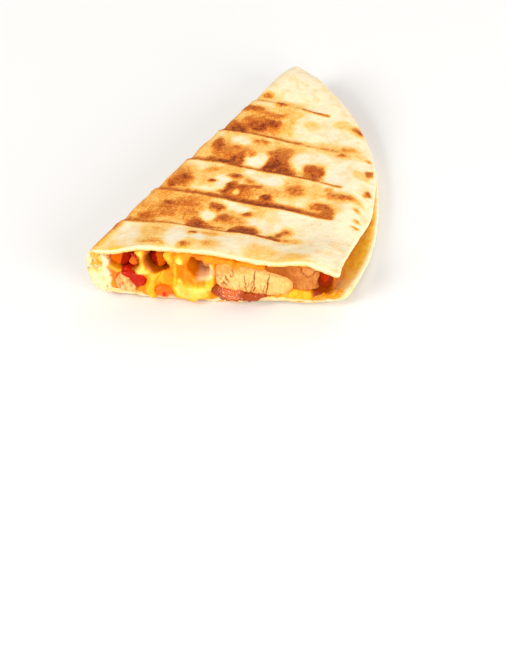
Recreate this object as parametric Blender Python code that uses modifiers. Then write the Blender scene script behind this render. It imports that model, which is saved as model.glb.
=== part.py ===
"""Grilled chicken quesadilla, one wedge.

One flour tortilla is folded over a cheese, chicken and tomato filling, pressed on a ridged grill
and cut across once.  The wedge has a straight cut front, a folded left edge and an open round rim
on the right.  While it is modelled the cut runs along +X from the fold corner at the origin, +Y
leads away from the cut and Z is up; at the end everything moves so that the origin is at the
bottom centre.  Lengths are in metres in Blender and in millimetres in the functions below.
"""
import bpy
import bmesh
import numpy as np
from mathutils import Matrix, Vector

MM = 0.001

# driving dimensions, mm
SHEET = 2.2            # thickness of the tortilla
CUT_LENGTH = 96.5      # cut front, fold corner to rim corner
FOLD_LENGTH = 124.5    # folded edge, cut to tip
FOLD_ANGLE = 71.0      # between the cut and the folded edge, degrees
RIM_RADIUS = 123.5     # the tortilla's own round edge
RIM_BULGE = 2.0        # the rim is a little fuller half way along
FOLD_TOP = 20.8        # height of the folded edge at the cut
FOLD_TOP_TIP = 16.6    # and towards the tip
TIP_DROP = 1.6         # pressed down over the last few millimetres
CROWN = 3.0            # the top rises over the filling near the cut
BACK_FALL = 8.6        # away from the cut the top falls this much towards the rim
RIM_THICK = 4.9        # both layers together where the rim is closed
RIM_OPEN = 9.3         # how much more the rim stands open at the cut
RIM_CLOSED_AT = 42.0   # distance from the cut where the rim closes
CORNER_RADIUS = 4.0    # rounded lower corner at the rim
UPPER_SHORT = 2.8      # the upper layer stops this much inside the lower one near the cut
TIP_RADIUS = 3.0       # rounded tip in plan
TIP_SHORT = 3.8        # the rounded tip ends this much short of a sharp one
TIP_OPEN = 5.2         # the rim stands open again towards the tip
GROOVE_FIRST = 16.5    # first grill groove, distance from the cut
GROOVE_PITCH = 18.5
GROOVE_COUNT = 5
GROOVE_DEPTH = 0.9
GROOVE_LEAN = 0.042    # the grooves come this much closer to the cut for each mm across
GROOVE_END = (0.70, 0.84, 0.84, 0.86, 0.74)   # how far across each groove reaches
GAP = 0.32             # clearance between pieces that touch
FILLING_BACK = 99.0    # the filling ends this far from the cut

# ---------------------------------------------------------------- outline and heights

theta = np.radians(FOLD_ANGLE)
CORNER = np.array([CUT_LENGTH, 0.0])
TIP = FOLD_LENGTH * np.array([np.cos(theta), np.sin(theta)])
chord = TIP - CORNER
half = np.linalg.norm(chord) / 2
inward = np.array([-chord[1], chord[0]]) / (2 * half)
CENTRE = (TIP + CORNER) / 2 + inward * np.sqrt(RIM_RADIUS ** 2 - half ** 2)


def smooth(t):
    t = np.clip(t, 0.0, 1.0)
    return t * t * (3 - 2 * t)


def bump(t, centre, width):
    return np.exp(-((t - centre) / width) ** 2)


def fold_x(y):
    """Outer edge of the fold."""
    return y / np.tan(theta)


def rim_x(y):
    """Outer edge of the round rim."""
    circle = CENTRE[0] + np.sqrt(np.maximum(RIM_RADIUS ** 2 - (y - CENTRE[1]) ** 2, 0.0))
    return circle + RIM_BULGE * bump(y, 88, 22)


def tip_inset(y):
    """Rounds the tip in plan."""
    start = TIP[1] - TIP_SHORT - TIP_RADIUS
    run = np.clip(y - start, 0.0, TIP_RADIUS) * 0.85
    return TIP_RADIUS - np.sqrt(TIP_RADIUS ** 2 - run ** 2)


def corner_inset(y):
    """Rounds the corner of the lower layer in plan."""
    run = np.clip(CORNER_RADIUS - y, 0.0, CORNER_RADIUS)
    return CORNER_RADIUS - np.sqrt(CORNER_RADIUS ** 2 - run ** 2)


def upper_inset(y):
    """The two layers don't meet exactly: the upper rim lies inside the lower one."""
    return UPPER_SHORT * bump(y, 24, 18) + 0.8 * smooth(y / 8) * (1 - smooth((y - 50) / 20))


def near_cut(y, reach=28.0):
    return 1 - smooth(y / reach)


def fold_bottom(y):
    return 1.3 * near_cut(y)


def fold_top(y):
    return FOLD_TOP + (FOLD_TOP_TIP - FOLD_TOP) * smooth((y - 22) / 80) - TIP_DROP * smooth((y - 106) / 8)


def rim_lift(y):
    """The lower layer lifts off the plate at the rim."""
    return 0.4 + 1.5 * (1 - smooth(y / RIM_CLOSED_AT))


def rim_top(y):
    opened = RIM_OPEN * (1 - smooth(y / RIM_CLOSED_AT)) + TIP_OPEN * smooth((y - 74) / 36)
    return RIM_THICK + rim_lift(y) + opened


def bend(y):
    """Start of the flat layers, half width and half height of the fold, middle height."""
    rise = (fold_top(y) - fold_bottom(y) - SHEET) / 2
    run = np.minimum(0.55 * rise, 0.40 * (rim_x(y) - fold_x(y) - 2 * tip_inset(y)))
    x0 = fold_x(y) + tip_inset(y) + SHEET / 2 + run
    return x0, run, rise, (fold_top(y) + fold_bottom(y)) / 2


def across(x, y):
    """0 where the fold's bend ends, 1 at the rim."""
    x0 = bend(y)[0]
    return (x - x0) / np.maximum(rim_x(y) - tip_inset(y) - x0, 0.4)


def groove_shift(x, y):
    return GROOVE_LEAN * (x - bend(y)[0]) * smooth(y / 14) * (1 - smooth((y - 96) / 12))


def grooves(x, y):
    """Ridge and groove pressed by each grill bar, nearly along the cut's direction."""
    w = across(x, y)
    total = 0.0
    for k in range(GROOVE_COUNT):
        t = y + groove_shift(x, y) - GROOVE_FIRST - k * GROOVE_PITCH
        ridge = 0.25 * bump(t, -0.4, 1.1)
        dip = smooth(t / 1.5) * (1 - smooth((t - 3.4) / 5.0))
        total = total + (ridge - GROOVE_DEPTH * dip) * (1 - smooth((w - GROOVE_END[k] + 0.22) / 0.22))
    return total


def upper_top(x, y):
    """Upper face of the upper layer."""
    w = across(x, y)
    near = near_cut(y, 26)
    top = fold_top(y)
    crest = top + CROWN * near - 0.6 * (1 - near)
    rise = top + (crest - top) * smooth(w / 0.22)
    fall_near = (1.0 + CROWN) * smooth((w - 0.36) / 0.42)
    fall_back = (BACK_FALL - 0.6) * (1 - 0.62 * smooth((y - 74) / 34)) * smooth((w - 0.02) / 1.1)
    body = rise - near * fall_near - (1 - near) * fall_back
    body = body + near * 0.9 * bump(w, 0.86, 0.08)
    k = smooth((w - 0.86) / 0.16)
    waves = 0.35 * np.sin(0.21 * x + 0.13 * y) * np.sin(0.17 * y - 0.9)
    return body * (1 - k) + rim_top(y) * k + waves * smooth(w / 0.2) * (1 - k) + grooves(x, y)


def lower_bottom(x, y):
    """Lower face of the lower layer; flat on the plate but for the wavy front edge and the rim."""
    w = across(x, y)
    edge = 1.3 * (1 - smooth((x - 6) / 26)) + 1.7 * smooth((x - 55) / 12) - 0.7 * bump(x, 84, 6)
    return near_cut(y) * edge + rim_lift(y) * smooth((w - 0.74) / 0.26)


# ---------------------------------------------------------------- helpers

def clear_scene():
    for item in list(bpy.data.objects):
        bpy.data.objects.remove(item, do_unlink=True)


def collection(name):
    found = bpy.data.collections.new(name)
    bpy.context.scene.collection.children.link(found)
    return found


def material(name, colour, roughness, metallic=0.0):
    made = bpy.data.materials.new(name)
    made.use_nodes = True
    shader = made.node_tree.nodes["Principled BSDF"]
    shader.inputs["Base Color"].default_value = (*colour, 1.0)
    shader.inputs["Roughness"].default_value = roughness
    shader.inputs["Metallic"].default_value = metallic
    return made


def add_object(name, mesh, where, surface=None):
    made = bpy.data.objects.new(name, mesh)
    where.objects.link(made)
    if surface is not None:
        made.data.materials.append(surface)
    if where is CUTTERS:
        made.hide_render = True
        made.display_type = "WIRE"
    return made


def mesh_from(bm, name):
    bmesh.ops.recalc_face_normals(bm, faces=bm.faces[:])
    mesh = bpy.data.meshes.new(name)
    bm.to_mesh(mesh)
    bm.free()
    mesh.shade_smooth()
    return mesh


def loft(name, sections, closed=False):
    """Skin through sections of equal count; closed sections get end caps."""
    bm = bmesh.new()
    rows = [[bm.verts.new(Vector(p) * MM) for p in section] for section in sections]
    count = len(rows[0])
    for a, b in zip(rows, rows[1:]):
        for i in range(count if closed else count - 1):
            j = (i + 1) % count
            bm.faces.new((a[i], a[j], b[j], b[i]))
    if closed:
        for ring in (rows[0], rows[-1]):
            bmesh.ops.triangulate(bm, faces=[bm.faces.new(ring)])
    return mesh_from(bm, name)


def slab(name, low, high):
    """Plain block between two corners, mm."""
    bm = bmesh.new()
    bmesh.ops.create_cube(bm, size=1.0)
    size = [(b - a) * MM for a, b in zip(low, high)]
    middle = [(a + b) / 2 * MM for a, b in zip(low, high)]
    bmesh.ops.scale(bm, vec=size, verts=bm.verts[:])
    bmesh.ops.translate(bm, vec=middle, verts=bm.verts[:])
    return mesh_from(bm, name)


def lump(name, centre, size, power=2.6, tilt=(0, 0, 0), taper=0.0, rough=0.0, phase=0.0, cuts=4, grow=0.0):
    """Rounded chunk: a block of `size` with softened corners, tapered along X, slightly uneven."""
    bm = bmesh.new()
    bmesh.ops.create_cube(bm, size=2.0)
    bmesh.ops.subdivide_edges(bm, edges=bm.edges[:], cuts=cuts, use_grid_fill=True)
    turn = Matrix.Rotation(np.radians(tilt[2]), 3, "Z") @ Matrix.Rotation(np.radians(tilt[1]), 3, "Y")
    turn = turn @ Matrix.Rotation(np.radians(tilt[0]), 3, "X")
    for v in bm.verts:
        p = np.array(v.co)
        p = p / np.sum(np.abs(p) ** power) ** (1 / power)
        uneven = 1 + rough * np.sin(3.1 * p[0] + phase) * np.cos(2.7 * p[2] + 1.7 * p[1] + 2 * phase)
        narrow = 1 - taper * p[0]
        half_size = np.array(size) / 2
        q = Vector((p[0] * half_size[0], p[1] * half_size[1] * narrow, p[2] * half_size[2] * narrow)) * uneven
        q = q + Vector(p).normalized() * grow
        v.co = (turn @ q + Vector(centre)) * MM
    return mesh_from(bm, name)


def modify(piece, operation, cutter, solver="EXACT"):
    step = piece.modifiers.new(operation.title(), "BOOLEAN")
    step.operation = operation
    step.solver = solver
    step.object = cutter


def bake(piece):
    """Turns an object's modifiers into its mesh."""
    bpy.context.view_layer.update()
    graph = bpy.context.evaluated_depsgraph_get()
    mesh = bpy.data.meshes.new_from_object(piece.evaluated_get(graph))
    piece.modifiers.clear()
    piece.data = mesh


def drop_crumbs(piece):
    """Keeps an object's largest connected part and removes slivers that a cut left loose."""
    bm = bmesh.new()
    bm.from_mesh(piece.data)
    left = set(bm.verts)
    islands = []
    while left:
        island = {left.pop()}
        front = list(island)
        while front:
            for edge in front.pop().link_edges:
                for v in edge.verts:
                    if v in left:
                        left.remove(v)
                        island.add(v)
                        front.append(v)
        islands.append(island)
    islands.sort(key=len)
    loose = [v for island in islands[:-1] for v in island]
    bmesh.ops.delete(bm, geom=loose, context="VERTS")
    bm.to_mesh(piece.data)
    bm.free()


# ---------------------------------------------------------------- scene

clear_scene()
PARTS = collection("quesadilla")
CUTTERS = collection("cutters")

TOASTED = material("toasted_tortilla", (0.86, 0.66, 0.36), 0.75)
CHEESE = material("melted_cheese", (0.95, 0.52, 0.04), 0.32)
CHICKEN = material("cooked_chicken", (0.86, 0.66, 0.42), 0.5)
TOMATO = material("cooked_tomato", (0.62, 0.06, 0.01), 0.25)
PEPPER = material("cooked_pepper", (0.70, 0.16, 0.01), 0.25)

# ---------------------------------------------------------------- tortilla

UPPER_COLUMNS = 15
BEND_COLUMNS = 8
LOWER_COLUMNS = 9


def groove_rows():
    rows = []
    for k in range(GROOVE_COUNT):
        line = GROOVE_FIRST + k * GROOVE_PITCH
        rows += [line - 1.8, line - 0.3, line + 1.5, line + 7.8]
    return rows


ROWS = [-3.0, 0.15, 0.9, 2.2, 5.0, 9.5] + groove_rows()
ROWS = [y for y in ROWS if y < 99] + list(np.linspace(102.0, TIP[1] - TIP_SHORT, 5))


def tortilla_section(row):
    """Middle surface from the lower rim round the fold to the upper rim, at one distance from the cut.

    On the upper layer the points follow the slightly leaning grooves.
    """
    y = row
    x0, run, rise, middle = bend(y)
    end = rim_x(y) - tip_inset(y)
    power = 2 / 2.4
    points = []
    for t in np.linspace(1, 0, LOWER_COLUMNS + 1)[:-1]:
        x = x0 + (end - corner_inset(y) - x0) * t
        points.append((x, y, lower_bottom(x, y) + SHEET / 2))
    for a in np.linspace(-np.pi / 2, np.pi / 2, BEND_COLUMNS):
        x = x0 - run * abs(np.cos(a)) ** power
        side = np.sign(np.sin(a)) * abs(np.sin(a)) ** power
        z = middle + rise * side
        notch = grooves(x0, y) * smooth(side)
        points.append((x, y, z + notch))
    for t in np.linspace(0, 1, UPPER_COLUMNS + 1)[1:]:
        t = 0.35 * t + 0.65 * (1 - (1 - t) ** 1.25)
        y = row - groove_shift(x0 + (end - x0) * t, row)
        start, stop = bend(y)[0], rim_x(y) - tip_inset(y) - upper_inset(y)
        x = start + (stop - start) * t
        points.append((x, y, upper_top(x, y) - SHEET / 2))
    return points


knife = add_object("knife", slab("knife", (-20, -15, -10), (130, 0, 45)), CUTTERS)

tortilla = add_object("tortilla", loft("tortilla", [tortilla_section(y) for y in ROWS]), PARTS, TOASTED)
shell = tortilla.modifiers.new("Thickness", "SOLIDIFY")
shell.thickness = SHEET * MM
shell.offset = 0.0
modify(tortilla, "DIFFERENCE", knife)

# ---------------------------------------------------------------- space for the filling

ACROSS = 13


def filling_end(y):
    """Right end of the filling: open and spread thin by the cut, short of the closed rim further in."""
    x0 = bend(y)[0]
    share = 0.80 + 0.14 * near_cut(y, 34)
    return x0 + (rim_x(y) - x0) * share


def filling_limits(x, y):
    """Lower and upper limit of the filling at a point."""
    x0, run, rise, middle = bend(y)
    low = lower_bottom(max(x, x0), y) + SHEET + GAP + 0.25 * near_cut(y) * bump(x, 58, 7)
    clearance = GAP + 0.9 * smooth((y - 5) / 8)
    high = upper_top(max(x, x0), y) - SHEET - clearance - 0.06 * near_cut(y)
    if x < x0:
        run_in = run - SHEET / 2 - GAP
        round_off = (1 - min(abs((x0 - x) / run_in), 1) ** 2.4) ** (1 / 2.4)
        centre = (low + high) / 2
        low = centre - (centre - low) * round_off
        high = centre + (high - centre) * round_off
    return low, high


def filling_ring(y, thin=True):
    """Closed section of the filling; towards the open rim it thins to a smear of cheese."""
    x0, run, rise, middle = bend(y)
    start = x0 - (run - SHEET / 2 - GAP) * 0.97
    end = filling_end(y)
    low_side = []
    high_side = []
    for t in np.linspace(0, 1, ACROSS):
        t = 0.5 * t + 0.5 * (1 - np.cos(np.pi * t)) / 2
        x = start + (end - start) * t
        low, high = filling_limits(x, y)
        if thin:
            smear = smooth((t - 0.80) / 0.10) * near_cut(y, 34)
            high = high * (1 - smear) + min(low + 1.0, high) * smear
        high = max(high, low + 0.5)
        low_side.append((x, y, low))
        high_side.append((x, y, high))
    return low_side + high_side[::-1]


DEPTHS = [-4.5, 0.2, 4, 9, 15, 18, 24, 32, 36.5, 44, 54, 64, 73.5, 82, 91, FILLING_BACK]


def filling_mesh(name, thin):
    return loft(name, [filling_ring(y, thin) for y in DEPTHS], closed=True)


envelope = add_object("envelope", filling_mesh("envelope", False), CUTTERS)

# ---------------------------------------------------------------- chicken and vegetables

# name: centre, size, power, tilt, taper, roughness, phase, cuts, how far it stands out of the cut
PIECES = {
    "chicken_strip": ((64.2, 8.5, 10.9), (30.0, 26, 10.4), 3.8, (0, 10.0, 0), 0.28, 0.05, 0.6, 4, 0.9, CHICKEN),
    "tomato_chunk": ((57.2, 4.5, 5.2), (22.4, 15, 6.4), 2.7, (0, 2, 3), 0.05, 0.06, 2.2, 3, 2.3, TOMATO),
    "chicken_slice": ((78.0, 11.0, 12.7), (24.2, 24, 13.2), 3.0, (0, 13, 0), 0.05, 0.04, 1.1, 3, -1.2, CHICKEN),
    "tomato_wedge": ((91.4, 5.4, 12.4), (12.6, 12, 5.4), 2.5, (0, -34, 0), -0.15, 0.05, 0.3, 3, 0.2, TOMATO),
    "chicken_piece": ((14.2, 2.4, 6.0), (7.6, 7.5, 7.6), 2.6, (0, 24, 0), 0.12, 0.10, 2.9, 3, 1.5, CHICKEN),
    "tomato_piece": ((17.6, 5.0, 8.4), (10.8, 13, 8.2), 2.6, (0, -6, 0), 0.1, 0.09, 0.9, 3, 0.2, TOMATO),
    "pepper_strip": ((13.4, 8.0, 17.0), (10.4, 14, 8.6), 2.4, (0, -38, 0), 0.1, 0.06, 1.8, 3, -2.0, PEPPER),
    "tomato_bit": ((18.6, 6.0, 15.6), (4.2, 9, 6.6), 2.4, (0, 8, 0), 0.0, 0.08, 0.2, 2, -1.4, TOMATO),
    "pepper_piece": ((27.6, 9.0, 16.2), (7.4, 15, 9.0), 2.4, (0, 10, 0), 0.0, 0.06, 1.4, 3, -2.8, PEPPER),
    "chicken_chunk": ((46.8, 11.0, 14.8), (9.0, 15, 8.0), 2.6, (0, 14, 0), 0.1, 0.08, 2.4, 3, -3.0, CHICKEN),
    "tomato_corner": ((28.2, 0.4, 4.7), (6.4, 5.6, 4.4), 2.4, (0, 6, 0), 0.0, 0.08, 1.9, 3, 2.2, TOMATO),
}
CRACKS = ((55.6, 13.6, 3.2, -12), (60.2, 9.4, 5.4, 4), (63.6, 11.2, 6.8, 9), (68.4, 10.6, 7.6, -3))

pockets = []
fillings = []
for name, (centre, size, power, tilt, taper, rough, phase, cuts, stand, surface) in PIECES.items():
    shape = dict(centre=centre, size=size, power=power, tilt=tilt, taper=taper, rough=rough, phase=phase, cuts=cuts)
    piece = add_object(name, lump(name, **shape), PARTS, surface)
    modify(piece, "INTERSECT", envelope)
    trim = add_object("trim_" + name, slab("trim_" + name, (-20, -30, -10), (130, -stand, 45)), CUTTERS)
    modify(piece, "DIFFERENCE", trim)
    for other in pockets:
        modify(piece, "DIFFERENCE", other)
    bake(piece)
    drop_crumbs(piece)
    pockets.append(add_object("pocket_" + name, lump("pocket_" + name, grow=GAP, **shape), CUTTERS))
    fillings.append(piece)

strip = fillings[0]
for number, (x, z, height, lean) in enumerate(CRACKS):
    crack = lump("crack", (x, -1.2, z), (0.55, 4.2, height), 2.2, (0, lean, 0), cuts=2)
    modify(strip, "DIFFERENCE", add_object("crack_%d" % number, crack, CUTTERS))
bake(strip)

# ---------------------------------------------------------------- melted cheese


def cheese_front(x, z):
    """Distance of the cheese's front from the cut; negative where it hangs out."""
    top_share = (z - 4) / 17
    left_leg = bump(x, 25.0 + 9.4 * top_share, 2.6)
    right_leg = bump(x, 39.8 - 3.6 * top_share, 3.4)
    foot = bump(z, 4.2, 3.4) * smooth((x - 20) / 4) * (1 - smooth((x - 45) / 4))
    column = bump(x, 21.2 + 0.1 * (z - 12), 2.0)
    return 1.3 - 2.2 * left_leg - 2.4 * right_leg * (1 - 0.5 * top_share) - 1.2 * foot - 0.8 * column


def cheese_mould():
    """Everything in front of the cheese's front, to be taken off the filling."""
    rings = []
    heights = np.linspace(-1, 27, 9)
    for x in np.linspace(-6, 112, 32):
        face = [(x, cheese_front(x, z), z) for z in heights]
        rings.append(face + [(x, -14, 27), (x, -14, -1)])
    return loft("mould", rings, closed=True)


mould = add_object("mould", cheese_mould(), CUTTERS)
HOLLOWS = (
    ((15.2, 3.0, 17.0), (13.0, 19, 10.8), -8),     # beside the fold
    ((28.4, 3.0, 17.0), (10.6, 17, 10.0), -26),   # between the column and the tent
    ((43.2, 2.0, 15.3), (9.2, 19, 9.8), 16),     # right of the tent
    ((90.5, -1.0, 11.6), (19.0, 26, 9.4), 6),     # the open corner
)
cheese = add_object("melted_cheese", filling_mesh("melted_cheese", True), PARTS, CHEESE)
modify(cheese, "DIFFERENCE", mould, "MANIFOLD")
for number, (centre, size, lean) in enumerate(HOLLOWS):
    hollow = add_object("hollow_%d" % number, lump("hollow", centre, size, 2.3, (0, lean, 0), cuts=3), CUTTERS)
    modify(cheese, "DIFFERENCE", hollow, "MANIFOLD")
for pocket in pockets:
    modify(cheese, "DIFFERENCE", pocket, "MANIFOLD")
bake(cheese)
drop_crumbs(cheese)

# ---------------------------------------------------------------- stand it on the origin

bake(tortilla)
corners = np.array([v.co for piece in PARTS.objects for v in piece.data.vertices])
low, high = corners.min(axis=0), corners.max(axis=0)
shift = Vector((-(low[0] + high[0]) / 2, -(low[1] + high[1]) / 2, -low[2]))
stand = bpy.data.objects.new("stand", None)
PARTS.objects.link(stand)
stand.location = shift
for piece in list(PARTS.objects) + list(CUTTERS.objects):
    if piece is not stand:
        piece.parent = stand
bpy.context.view_layer.update()
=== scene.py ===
# %% [markdown]
# # A grilled quesadilla wedge
#
# One tortilla folded over a filling, grilled between ridged plates and cut once.
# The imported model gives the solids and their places. This script gives them the
# looks: toasted flour, stringy cheese, chicken and wet vegetables.

import bmesh
import bpy
import numpy as np
from mathutils import Matrix, Vector


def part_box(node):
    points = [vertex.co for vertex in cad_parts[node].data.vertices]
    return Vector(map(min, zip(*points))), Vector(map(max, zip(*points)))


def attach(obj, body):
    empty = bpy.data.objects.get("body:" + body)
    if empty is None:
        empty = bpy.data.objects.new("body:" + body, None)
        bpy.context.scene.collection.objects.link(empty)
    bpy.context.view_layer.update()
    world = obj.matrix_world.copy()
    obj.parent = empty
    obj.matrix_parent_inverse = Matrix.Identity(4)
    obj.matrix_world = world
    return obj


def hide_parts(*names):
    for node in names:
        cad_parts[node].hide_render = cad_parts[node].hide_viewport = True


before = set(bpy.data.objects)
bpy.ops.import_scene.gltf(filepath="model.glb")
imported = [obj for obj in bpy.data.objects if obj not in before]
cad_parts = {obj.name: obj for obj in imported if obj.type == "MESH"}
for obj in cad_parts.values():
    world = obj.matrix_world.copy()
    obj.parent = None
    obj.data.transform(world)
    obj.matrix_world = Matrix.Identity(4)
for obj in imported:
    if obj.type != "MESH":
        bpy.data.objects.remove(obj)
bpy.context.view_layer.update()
print("solids:", sorted(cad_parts))

# %% [markdown]
# ## Millimetres on the food
#
# Food is easier to think about in millimetres from one corner. The corner is where
# the fold meets the cut: x runs along the cut, y away from it, z up from the plate.
# The corner comes from the tortilla's box, so nothing has to be fitted.

# %% Measuring from the corner
MM = 0.001
low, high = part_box("tortilla")
CORNER_AT = np.array([low.x, low.y, 0.0])


def place(points):
    """Millimetres from the corner to metres in the model."""
    return np.asarray(points, float) * MM + CORNER_AT


def measure(points):
    """Metres in the model to millimetres from the corner."""
    return (np.asarray(points, float) - CORNER_AT) / MM


print("the corner is at", np.round(CORNER_AT, 4), "m")

# %% [markdown]
# ## Soft steps and uneven food
#
# Three small functions shape nearly everything here. `smooth` is a soft step,
# `bump` a soft hill, and `uneven` a repeatable random field in space, made from
# numbers hashed at the corners of a grid. Nothing in it is left unseeded.

# %% Soft steps, hills and unevenness
def smooth(t):
    t = np.clip(t, 0.0, 1.0)
    return t * t * (3 - 2 * t)


def bump(t, centre, width):
    return np.exp(-((t - centre) / width) ** 2)


def hashed(ix, iy, iz, seed):
    n = (ix * 73856093) ^ (iy * 19349663) ^ (iz * 83492791) ^ (seed * 2654435761)
    n = ((n & 0xFFFFFFFF) ^ ((n & 0xFFFFFFFF) >> 13)) * 1274126177
    n = n & 0xFFFFFFFF
    n = ((n ^ (n >> 15)) * 1911520717) & 0xFFFFFFFF
    return ((n ^ (n >> 16)) & 0xFFFF) / 65535.0


def uneven(points, size, seed, layers=2):
    """A smooth random field between about -1 and 1, with lumps of the given size in mm."""
    points = np.asarray(points, float)
    total, weight, scale = 0.0, 0.0, 1.0
    for layer in range(layers):
        q = points / (size * scale) + 37.7 * (layer + 1)
        cell = np.floor(q).astype(np.int64)
        part = q - cell
        part = part * part * (3 - 2 * part)
        value = 0.0
        for corner in range(8):
            step = np.array([corner & 1, corner >> 1 & 1, corner >> 2 & 1])
            share = np.prod(np.where(step, part, 1 - part), axis=-1)
            at = cell + step
            value = value + share * hashed(at[..., 0], at[..., 1], at[..., 2], seed + layer)
        total = total + (2 * value - 1) * scale
        weight += scale
        scale *= 0.5
    return 1.5 * total / weight


print("unevenness at the corner:", round(float(uneven([[0, 0, 0]], 5, 1)[0]), 3))

# %% [markdown]
# ## The sheet's shape
#
# The tortilla is one round sheet folded once, so its section is a flat lower layer,
# a tight bend and an upper layer that arches over the filling. The solids use the
# same named sizes. Here the same surface is made far finer, so that the grill's
# grooves, blisters and the torn look of the cut become real relief.

# %% Sizes of the folded sheet
SHEET = 2.2            # thickness of the tortilla
CUT_LENGTH = 96.5      # along the cut, from the fold to the rim
FOLD_LENGTH = 124.5    # along the folded edge, from the cut to the tip
FOLD_ANGLE = 71.0      # between the cut and the folded edge, degrees
RIM_RADIUS = 123.5     # the tortilla's own round edge
RIM_BULGE = 2.0        # the rim is a little fuller half way along
FOLD_TOP, FOLD_TOP_TIP = 20.8, 16.6   # height of the folded edge at the cut and at the tip
TIP_DROP = 1.6         # pressed down over the last few millimetres
CROWN = 3.0            # the top rises over the filling near the cut
BACK_FALL = 8.6        # away from the cut the top falls this much towards the rim
RIM_THICK = 4.9        # both layers together where the rim is closed
RIM_OPEN = 9.3         # how much more the rim stands open at the cut
RIM_CLOSED_AT = 42.0   # distance from the cut where the rim closes
CORNER_RADIUS = 4.0    # rounded lower corner at the rim
UPPER_SHORT = 2.8      # the upper layer stops this much inside the lower one near the cut
TIP_RADIUS = 3.0       # rounded tip in plan
TIP_SHORT = 3.8        # the rounded tip ends this much short of a sharp one
TIP_OPEN = 5.2         # the rim stands open again towards the tip
GROOVE_FIRST, GROOVE_PITCH, GROOVE_COUNT = 16.5, 18.5, 5    # first groove from the cut, and the rest
GROOVE_DEPTH = 0.9
GROOVE_LEAN = 0.042    # the grooves come this much closer to the cut for each mm across
GROOVE_END = (0.70, 0.84, 0.84, 0.86, 0.74)     # how far across each groove reaches

theta = np.radians(FOLD_ANGLE)
RIM_END = np.array([CUT_LENGTH, 0.0])
TIP = FOLD_LENGTH * np.array([np.cos(theta), np.sin(theta)])
chord = TIP - RIM_END
half = np.linalg.norm(chord) / 2
inward = np.array([-chord[1], chord[0]]) / (2 * half)
CENTRE = (TIP + RIM_END) / 2 + inward * np.sqrt(RIM_RADIUS ** 2 - half ** 2)
print("the tip is", np.round(TIP, 1), "mm from the corner")


# %% The outline from above
def fold_x(y):
    """Outer edge of the fold."""
    return y / np.tan(theta)


def rim_x(y):
    """Outer edge of the round rim."""
    circle = CENTRE[0] + np.sqrt(np.maximum(RIM_RADIUS ** 2 - (y - CENTRE[1]) ** 2, 0.0))
    return circle + RIM_BULGE * bump(y, 88, 22)


def tip_inset(y):
    """Rounds the tip."""
    run = np.clip(y - (TIP[1] - TIP_SHORT - TIP_RADIUS), 0.0, TIP_RADIUS) * 0.85
    return TIP_RADIUS - np.sqrt(TIP_RADIUS ** 2 - run ** 2)


def corner_inset(y):
    """Rounds the lower layer's corner at the rim."""
    run = np.clip(CORNER_RADIUS - y, 0.0, CORNER_RADIUS)
    return CORNER_RADIUS - np.sqrt(CORNER_RADIUS ** 2 - run ** 2)


def upper_inset(y):
    """How far the upper rim lies inside the lower one."""
    return UPPER_SHORT * bump(y, 24, 18) + 0.8 * smooth(y / 8) * (1 - smooth((y - 50) / 20))


def near_cut(y, reach=28.0):
    return 1 - smooth(y / reach)


# %% Heights of the two layers
def fold_bottom(y):
    return 1.3 * near_cut(y)


def fold_top(y):
    return FOLD_TOP + (FOLD_TOP_TIP - FOLD_TOP) * smooth((y - 22) / 80) - TIP_DROP * smooth((y - 106) / 8)


def rim_lift(y):
    return 0.4 + 1.5 * (1 - smooth(y / RIM_CLOSED_AT))


def rim_top(y):
    opened = RIM_OPEN * (1 - smooth(y / RIM_CLOSED_AT)) + TIP_OPEN * smooth((y - 74) / 36)
    return RIM_THICK + rim_lift(y) + opened


def bend(y):
    """Start of the flat layers, half width and half height of the fold, middle height."""
    rise = (fold_top(y) - fold_bottom(y) - SHEET) / 2
    run = np.minimum(0.55 * rise, 0.40 * (rim_x(y) - fold_x(y) - 2 * tip_inset(y)))
    return fold_x(y) + tip_inset(y) + SHEET / 2 + run, run, rise, (fold_top(y) + fold_bottom(y)) / 2


def across(x, y):
    """0 where the fold's bend ends, 1 at the rim."""
    x0 = bend(y)[0]
    return (x - x0) / np.maximum(rim_x(y) - tip_inset(y) - x0, 0.4)


def groove_shift(x, y):
    return GROOVE_LEAN * (x - bend(y)[0]) * smooth(y / 14) * (1 - smooth((y - 96) / 12))


def past_bar(x, y, k):
    """Distance behind the near edge of grill bar k."""
    return y + groove_shift(x, y) - GROOVE_FIRST - k * GROOVE_PITCH


def grooves(x, y):
    w = across(x, y)
    total = 0.0
    for k in range(GROOVE_COUNT):
        t = past_bar(x, y, k)
        dip = smooth(t / 1.5) * (1 - smooth((t - 3.4) / 5.0))
        before_end = 1 - smooth((w - GROOVE_END[k] + 0.22) / 0.22)
        total = total + (0.25 * bump(t, -0.4, 1.1) - GROOVE_DEPTH * dip) * before_end
    return total


def upper_top(x, y):
    """Upper face of the upper layer."""
    w = across(x, y)
    near = near_cut(y, 26)
    top = fold_top(y)
    crest = top + CROWN * near - 0.6 * (1 - near)
    body = top + (crest - top) * smooth(w / 0.22)
    body = body - near * (1.0 + CROWN) * smooth((w - 0.36) / 0.42)
    fall = (1 - near) * (BACK_FALL - 0.6) * (1 - 0.62 * smooth((y - 74) / 34))
    body = body - fall * smooth((w - 0.02) / 1.1)
    body = body + near * 0.9 * bump(w, 0.86, 0.08)
    k = smooth((w - 0.86) / 0.16)
    waves = 0.35 * np.sin(0.21 * x + 0.13 * y) * np.sin(0.17 * y - 0.9)
    return body * (1 - k) + rim_top(y) * k + waves * smooth(w / 0.2) * (1 - k) + grooves(x, y)


def lower_bottom(x, y):
    """Lower face of the lower layer."""
    edge = 1.3 * (1 - smooth((x - 6) / 26)) + 1.7 * smooth((x - 55) / 12) - 0.7 * bump(x, 84, 6)
    return near_cut(y) * edge + rim_lift(y) * smooth((across(x, y) - 0.74) / 0.26)


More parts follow.
